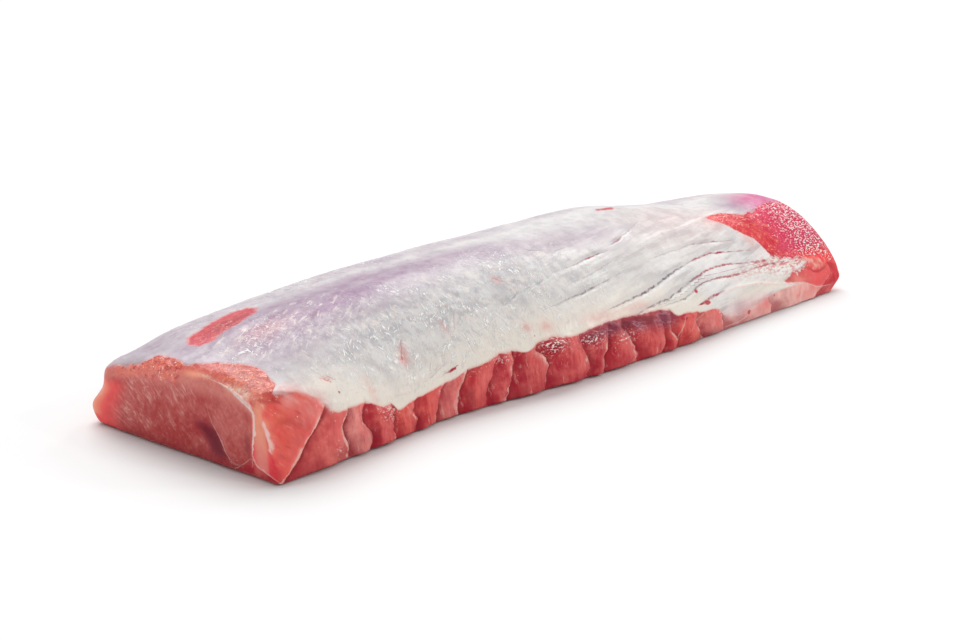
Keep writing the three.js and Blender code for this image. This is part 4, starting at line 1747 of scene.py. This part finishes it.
@dataclass(frozen=True)
class PorkLoin:
    """The loin: one closed surface carried from a box, with fine relief and one finish."""

    form: LoinForm = LoinForm()
    membrane: Membrane = Membrane()
    colouring: Colouring = Colouring()
    cut_end: CutEnd = CutEnd()
    finish: LoinFinish = LoinFinish()
    # Dips and swells of the top: place along, share across, reach along, reach across and height
    crown: Lobes = Lobes((
        (120, 0.64, 62, 0.22, -3.9),
        (60, 0.74, 40, 0.14, -0.8),
        (212, 0.65, 44, 0.2, -1.7),
        (320, 0.67, 27, 0.2, 3.0),
        (386, 0.58, 22, 0.18, -2.4),
        (432, 0.47, 12, 0.16, 1.2),
    ))
    far_corner: float = 2.0
    node: str = "pork_loin"
    steps_long: int = 420
    steps_front: int = 32
    steps_top: int = 108
    steps_back: int = 24
    steps_under: int = 18
    rings: int = 30
    crowding: float = 0.4
    seed: int = 11
    membrane_thickness: float = 0.15
    membrane_smooths: float = 0.9
    swell: float = 1.6
    swell_pitch: float = 34.0
    wrinkle: float = 0.25
    crinkle: float = 0.45
    fold: float = 1.5
    crest: float = 0.6
    groove_depth: float = 0.5
    vein_depth: float = 0.4
    thread_height: float = 0.4
    fat_line_height: float = 0.35
    grain_pitch: float = 2.6
    tongue_height: float = 1.4
    seam_height: float = 0.5
    fibre_height: float = 0.35
    uneven: float = 1.5
    uneven_pitch: float = 11.0
    end_lumps: float = 2.2
    end_lump_pitch: Place = (14.0, 14.0, 20.0)
    press_depth: float = 0.9
    press_scale: Place = (0.02, 0.11, 0.1)
    # Steps of noise to a millimetre of along, across and up, for wrinkles and for the rumpled folds
    wrinkle_slant: tuple[Place, ...] = ((0.35, 0.06, 0.0), (-0.2, 0.12, 0.0), (0.0, 0.0, 0.1))
    fold_slant: tuple[Place, ...] = ((0.05, 0.03, 0.0), (-0.1, 0.06, 0.0), (0.0, 0.0, 0.05))
    rumpled: Patch = Patch(48, 0.42, 40, 0.16)

    def crowd(self, steps: int) -> Array:
        """Places from 0 to 1, closer towards both ends, without the last.

        Args:
            steps: How many.

        Returns:
            A blend of even places and cosine places.
        """
        t = np.arange(steps) / steps
        return (1.0 - self.crowding) * t + self.crowding * (0.5 - 0.5 * np.cos(np.pi * t))

    def girdle(self) -> Array:
        """The closed loop round the box: up the front, over the top, down the back and home underneath."""
        steps = (self.steps_front, self.steps_top, self.steps_back, self.steps_under)
        front, top, back, under = (self.crowd(count) for count in steps)
        legs = [
            columns(0.0 * front, front),
            columns(top, 1.0 + 0.0 * top),
            columns(1.0 + 0.0 * back, 1.0 - back),
            columns(1.0 - under, 0.0 * under),
        ]
        return np.concatenate(legs)

    def box(self) -> tuple[Array, list[list[int]]]:
        """The unit box as a girdle carried along its length and two caps of shrinking rings.

        Returns:
            Places on the box, and faces that point outwards.
        """
        loop = self.girdle()
        count = len(loop)
        long = np.append(self.crowd(self.steps_long), 1.0)
        wall = np.column_stack([np.repeat(long, count), np.tile(loop, (len(long), 1))])
        shrink = (1.0 - np.arange(1, self.rings) / self.rings)[:, None, None]
        rings = (0.5 + (loop - 0.5) * shrink).reshape(-1, 2)
        middle = np.full((1, 2), 0.5)
        inner = np.concatenate([rings, middle])
        near = np.column_stack([np.zeros(len(inner)), inner])
        far = np.column_stack([np.ones(len(inner)), inner])
        unit = np.concatenate([wall, near, far])

        turn = np.roll(np.arange(count), -1)
        here = np.arange(count)
        row = np.arange(self.steps_long)[:, None] * count
        quads = np.stack([row + here, row + count + here, row + count + turn, row + turn], axis=-1)
        faces = quads.reshape(-1, 4).tolist()
        for first, start, flip in ((0, len(wall), False), (len(wall) - count, len(wall) + len(inner), True)):
            levels = [first, *(start + count * k for k in range(self.rings - 1))]
            for outer, deeper in zip(levels, levels[1:]):
                ring = columns(outer + here, outer + turn, deeper + turn, deeper + here)
                faces += (ring[:, ::-1] if flip else ring).tolist()
            tip = np.full(count, start + len(inner) - 1)
            fan = columns(levels[-1] + here, levels[-1] + turn, tip)
            faces += (fan[:, ::-1] if flip else fan).tolist()
        return unit, faces

    def meat(self, skin: Skin) -> dict[str, Array]:
        """The shares of the meat's tones at each place."""
        return self.colouring.meat(skin, self.form, self.cut_end)

    def relief(self, skin: Skin) -> Array:
        """Fine relief along the surface's own direction, in millimetres.

        Args:
            skin: Places on the surface.

        Returns:
            The membrane's thickness and wrinkles, grooves, raw grain, seams and slow swells.
        """
        grain = Grain(self.seed)
        along, across, up = skin.along, skin.across, skin.up
        sides = (Face.FRONT, Face.BACK, Face.CUT, Face.TAIL, Face.TOP, Face.UNDER)
        front, back, cut, tail, top, under = (side.share(skin.facing) for side in sides)
        extent = self.membrane.extent(skin)
        covered = rise(extent, -0.5, 1.4)
        smoothed = -self.membrane_smooths * rise(extent, -4.0, 6.0)
        smoothed = smoothed * self.form.front_relief(along, up, skin.facing)
        flat = columns(along, across * self.form.width, up * self.form.wall_height)

        swell = self.swell * (grain.layered(skin.points / self.swell_pitch) - 0.5)
        swell = swell + self.crown.relief(along, across) * top
        at_corner = hump(along / 14.0) * hump((across - 1.0) / 0.1) * hump((up - 0.85) / 0.25)
        swell = swell + self.far_corner * at_corner
        creased = self.wrinkle + self.crinkle * self.colouring.flecks(skin)[:, 0]
        wrinkle = creased * (grain.ridged(flat @ np.array(self.wrinkle_slant)) - self.crest) * covered
        folded = self.fold * self.rumpled.on(along, across)
        wrinkle = wrinkle + folded * (grain.ridged(flat @ np.array(self.fold_slant)) - self.crest) * covered

        membrane, groove = self.membrane, 0.0
        heights = (-self.groove_depth, -self.vein_depth, self.thread_height)
        for lines, height in zip((membrane.grooves, membrane.veins, membrane.threads), heights):
            _, distance, strength = membrane.beside(lines, skin).T
            groove = groove + height * hump(distance) * strength
        _, distance, strength = self.cut_end.beside(skin).T
        groove = groove + self.fat_line_height * hump(distance / 1.2) * strength * cut

        meat = self.meat(skin)
        raw = meat["raw"] * (1.0 - covered)
        lumps = raw * (grain.layered(skin.points / self.grain_pitch, 2) - 0.5)
        lumps = lumps + self.tongue_height * meat["knob"]

        seams = 0.0
        for side, wall in ((front, self.form.front_seams), (back, self.form.back_seams)):
            number, distance = wall.read(along, up)
            off = np.abs(number - np.rint(number)) * distance
            seams = seams + self.seam_height * hump(off / 1.5) * side
        fibres = self.fibre_height * (grain.at(columns(along / 1.9, up * 3.0, 0.0 * up)) - 0.5)
        uneven = self.uneven * (grain.layered(skin.points / self.uneven_pitch, 2) - 0.5)
        walls = (front + back) * (1.0 - covered)

        ends = cut * (1.0 - ease(skin.sliced)) + tail
        lumpy = self.end_lumps * (grain.layered(skin.points / self.end_lump_pitch, 3) - 0.5) * ends
        total = swell + self.membrane_thickness * covered + smoothed + wrinkle + groove + lumps + lumpy
        total = total + (seams + fibres + uneven) * walls
        pressed = -self.press_depth * grain.ridged(skin.points * self.press_scale) ** 4
        return total * (1.0 - under) + pressed * under

    def outward(self, points: Array, faces: list[list[int]]) -> Array:
        """Direction out of the surface at each point.

        Args:
            points: The mesh's points.
            faces: The mesh's faces.

        Returns:
            The sum of the cross products of each face's diagonals, brought to length 1.
        """
        corners = np.array([face if len(face) == 4 else [*face, face[2]] for face in faces])
        first = points[corners[:, 2]] - points[corners[:, 0]]
        second = points[corners[:, 3]] - points[corners[:, 1]]
        normal = np.cross(first, second)
        total = np.zeros_like(points)
        for k in range(4):
            np.add.at(total, corners[:, k], normal)
        return total / np.linalg.norm(total, axis=1, keepdims=True)

    def fields(self, skin: Skin) -> dict[str, Array]:
        """The surface's own attributes, three values each.

        Args:
            skin: Places on the surface.

        Returns:
            Arrays by attribute name.
        """
        membrane, walls = self.membrane, (self.form.front_seams, self.form.back_seams)
        meat = self.meat(skin)
        reads = [wall.read(skin.along, skin.up) for wall in walls]
        phases, spacings = zip(*reads)
        shows = [wall.shows(phase, skin.up) for wall, phase in zip(walls, phases)]
        tones = {
            "warm_tones": ("red", "orange", "rose"),
            "dull_tones": ("deep", "brown", "pale"),
            "wetness": ("raw", "dense", "tongue"),
            "trims": ("frayed", "mottled", "facet"),
        }
        return {
            "place": columns(skin.along, skin.across, skin.up),
            "facing": skin.facing,
            "phases": columns(*phases, membrane.girth(skin)),
            "spacings": columns(*spacings, meat["gleam"]),
            "shows": columns(*shows, meat["film"]),
            "edges": columns(membrane.extent(skin), meat["maroon"], meat["peach"]),
            "grooves": membrane.beside(membrane.grooves, skin),
            "veins": membrane.beside(membrane.veins, skin),
            "threads": membrane.beside(membrane.threads, skin),
            "cut_lines": self.cut_end.beside(skin),
            "tints": self.colouring.tints(skin, membrane, Grain(self.seed + 1)),
            "flecks": self.colouring.flecks(skin),
            **{name: columns(*(meat[part] for part in parts)) for name, parts in tones.items()},
        }

    def build(self) -> bpy.types.Object:
        """Make the mesh with its attributes.

        Returns:
            The loin's object, its place in its mesh.
        """
        unit, faces = self.box()
        skin = self.form.carry(unit)
        low = np.array(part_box(self.node)[0]) / MM
        shift = low - skin.points.min(axis=0)
        points = skin.points + self.relief(skin)[:, None] * self.outward(skin.points, faces)
        points[:, 2] = np.maximum(points[:, 2], 0.0)
        mesh = bpy.data.meshes.new("loin_meat")
        mesh.from_pydata(((points + shift) * MM).tolist(), [], faces)
        for name, values in self.fields(skin).items():
            layer = mesh.attributes.new(name, "FLOAT_VECTOR", "POINT")
            layer.data.foreach_set("vector", values.astype(np.float32).ravel())
        mesh.polygons.foreach_set("use_smooth", np.ones(len(faces), bool))
        mesh.update()
        loin = bpy.data.objects.new("loin_meat", mesh)
        bpy.context.scene.collection.objects.link(loin)
        return loin

    def dress(self, loin: bpy.types.Object) -> None:
        """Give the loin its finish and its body.

        Args:
            loin: The loin's object.
        """
        loin.data.materials.append(self.finish.make())
        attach(loin, "root")
        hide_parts(self.node)


# The studio


@dataclass(frozen=True)
class Softbox:
    """A rectangular lamp: its place, what it looks at, its size and its power."""

    name: str
    place: Place
    size: tuple[float, float]
    power: float
    target: Place = (0.0, 0.0, 0.03)

    def hang(self) -> None:
        """Add the lamp, turned towards its target."""
        lamp = bpy.data.lights.new(self.name, "AREA")
        lamp.shape = "RECTANGLE"
        lamp.size, lamp.size_y = self.size
        lamp.energy = self.power
        holder = bpy.data.objects.new(self.name, lamp)
        bpy.context.scene.collection.objects.link(holder)
        aim = Vector(self.target) - Vector(self.place)
        holder.location = self.place
        holder.rotation_euler = aim.to_track_quat("-Z", "Y").to_euler()


@dataclass(frozen=True)
class Studio:
    """White floor, soft light and the camera."""

    floor_half: float = 9.0
    floor_drop: float = 0.0001
    floor_white: float = 0.8
    floor_roughness: float = 0.9
    floor_gloss: float = 0.1
    sky: float = 0.56
    sun: float = 2.6
    sun_spread: float = 45.0
    sun_from: Place = (0.45, 0.65, 0.9)
    lens: float = 85.0
    camera_place: Place = (-0.897, -0.8043, 0.369)
    camera_pitch: float = 16.3
    camera_turn: float = -47.43
    lamps: tuple[Softbox, ...] = (
        Softbox("far_side", (1.5, 0.35, 1.2), (0.4, 0.3), 3.6),
        Softbox("front", (0.5, -1.5, 1.0), (0.14, 0.14), 2.4),
        Softbox("front_far", (1.2, -1.0, 0.9), (0.16, 0.16), 3.0),
    )

    def floor(self) -> None:
        """Add the plain white floor."""
        half, drop = self.floor_half, -self.floor_drop
        corners = [(-half, -half, drop), (half, -half, drop), (half, half, drop), (-half, half, drop)]
        mesh = bpy.data.meshes.new("floor")
        mesh.from_pydata(corners, [], [(0, 1, 2, 3)])
        ground = bpy.data.objects.new("floor", mesh)
        bpy.context.scene.collection.objects.link(ground)
        bench = Bench("floor_white")
        inputs = {
            "Base Color": (self.floor_white,) * 3 + (1.0,),
            "Roughness": self.floor_roughness,
            "Specular IOR Level": self.floor_gloss,
        }
        bench.finish(bench.add("ShaderNodeBsdfPrincipled", inputs=inputs))
        ground.data.materials.append(bench.material)

    def light(self) -> None:
        """Hang the lamps and set an even white sky."""
        for lamp in self.lamps:
            lamp.hang()
        sun = bpy.data.lights.new("wide_light", "SUN")
        sun.energy = self.sun
        sun.angle = math.radians(self.sun_spread)
        holder = bpy.data.objects.new("wide_light", sun)
        holder.rotation_euler = Vector(self.sun_from).to_track_quat("Z", "Y").to_euler()
        bpy.context.scene.collection.objects.link(holder)
        world = bpy.data.worlds.new("studio")
        world.use_nodes = True
        sky = world.node_tree.nodes["Background"]
        sky.inputs["Color"].default_value = (1.0, 1.0, 1.0, 1.0)
        sky.inputs["Strength"].default_value = self.sky
        scene = bpy.context.scene
        scene.world = world
        scene.view_settings.view_transform = "Standard"
        scene.view_settings.look = "None"

    def aim(self) -> None:
        """Set up the camera at the photograph's angle."""
        data = bpy.data.cameras.new("camera")
        data.lens = self.lens
        camera = bpy.data.objects.new("camera", data)
        camera.location = self.camera_place
        turn = (math.radians(90.0 - self.camera_pitch), 0.0, math.radians(self.camera_turn))
        camera.rotation_euler = turn
        bpy.context.scene.collection.objects.link(camera)
        bpy.context.scene.camera = camera


def main() -> None:
    """Build the studio and the loin in order."""
    logging.basicConfig(level=logging.INFO, format="%(name)s: %(message)s")
    studio = Studio()
    studio.aim()
    studio.floor()
    studio.light()
    roast = PorkLoin()
    loin = roast.build()
    roast.dress(loin)
    log.info("%s: %d faces", loin.name, len(loin.data.polygons))


if __name__ == "__main__":
    main()
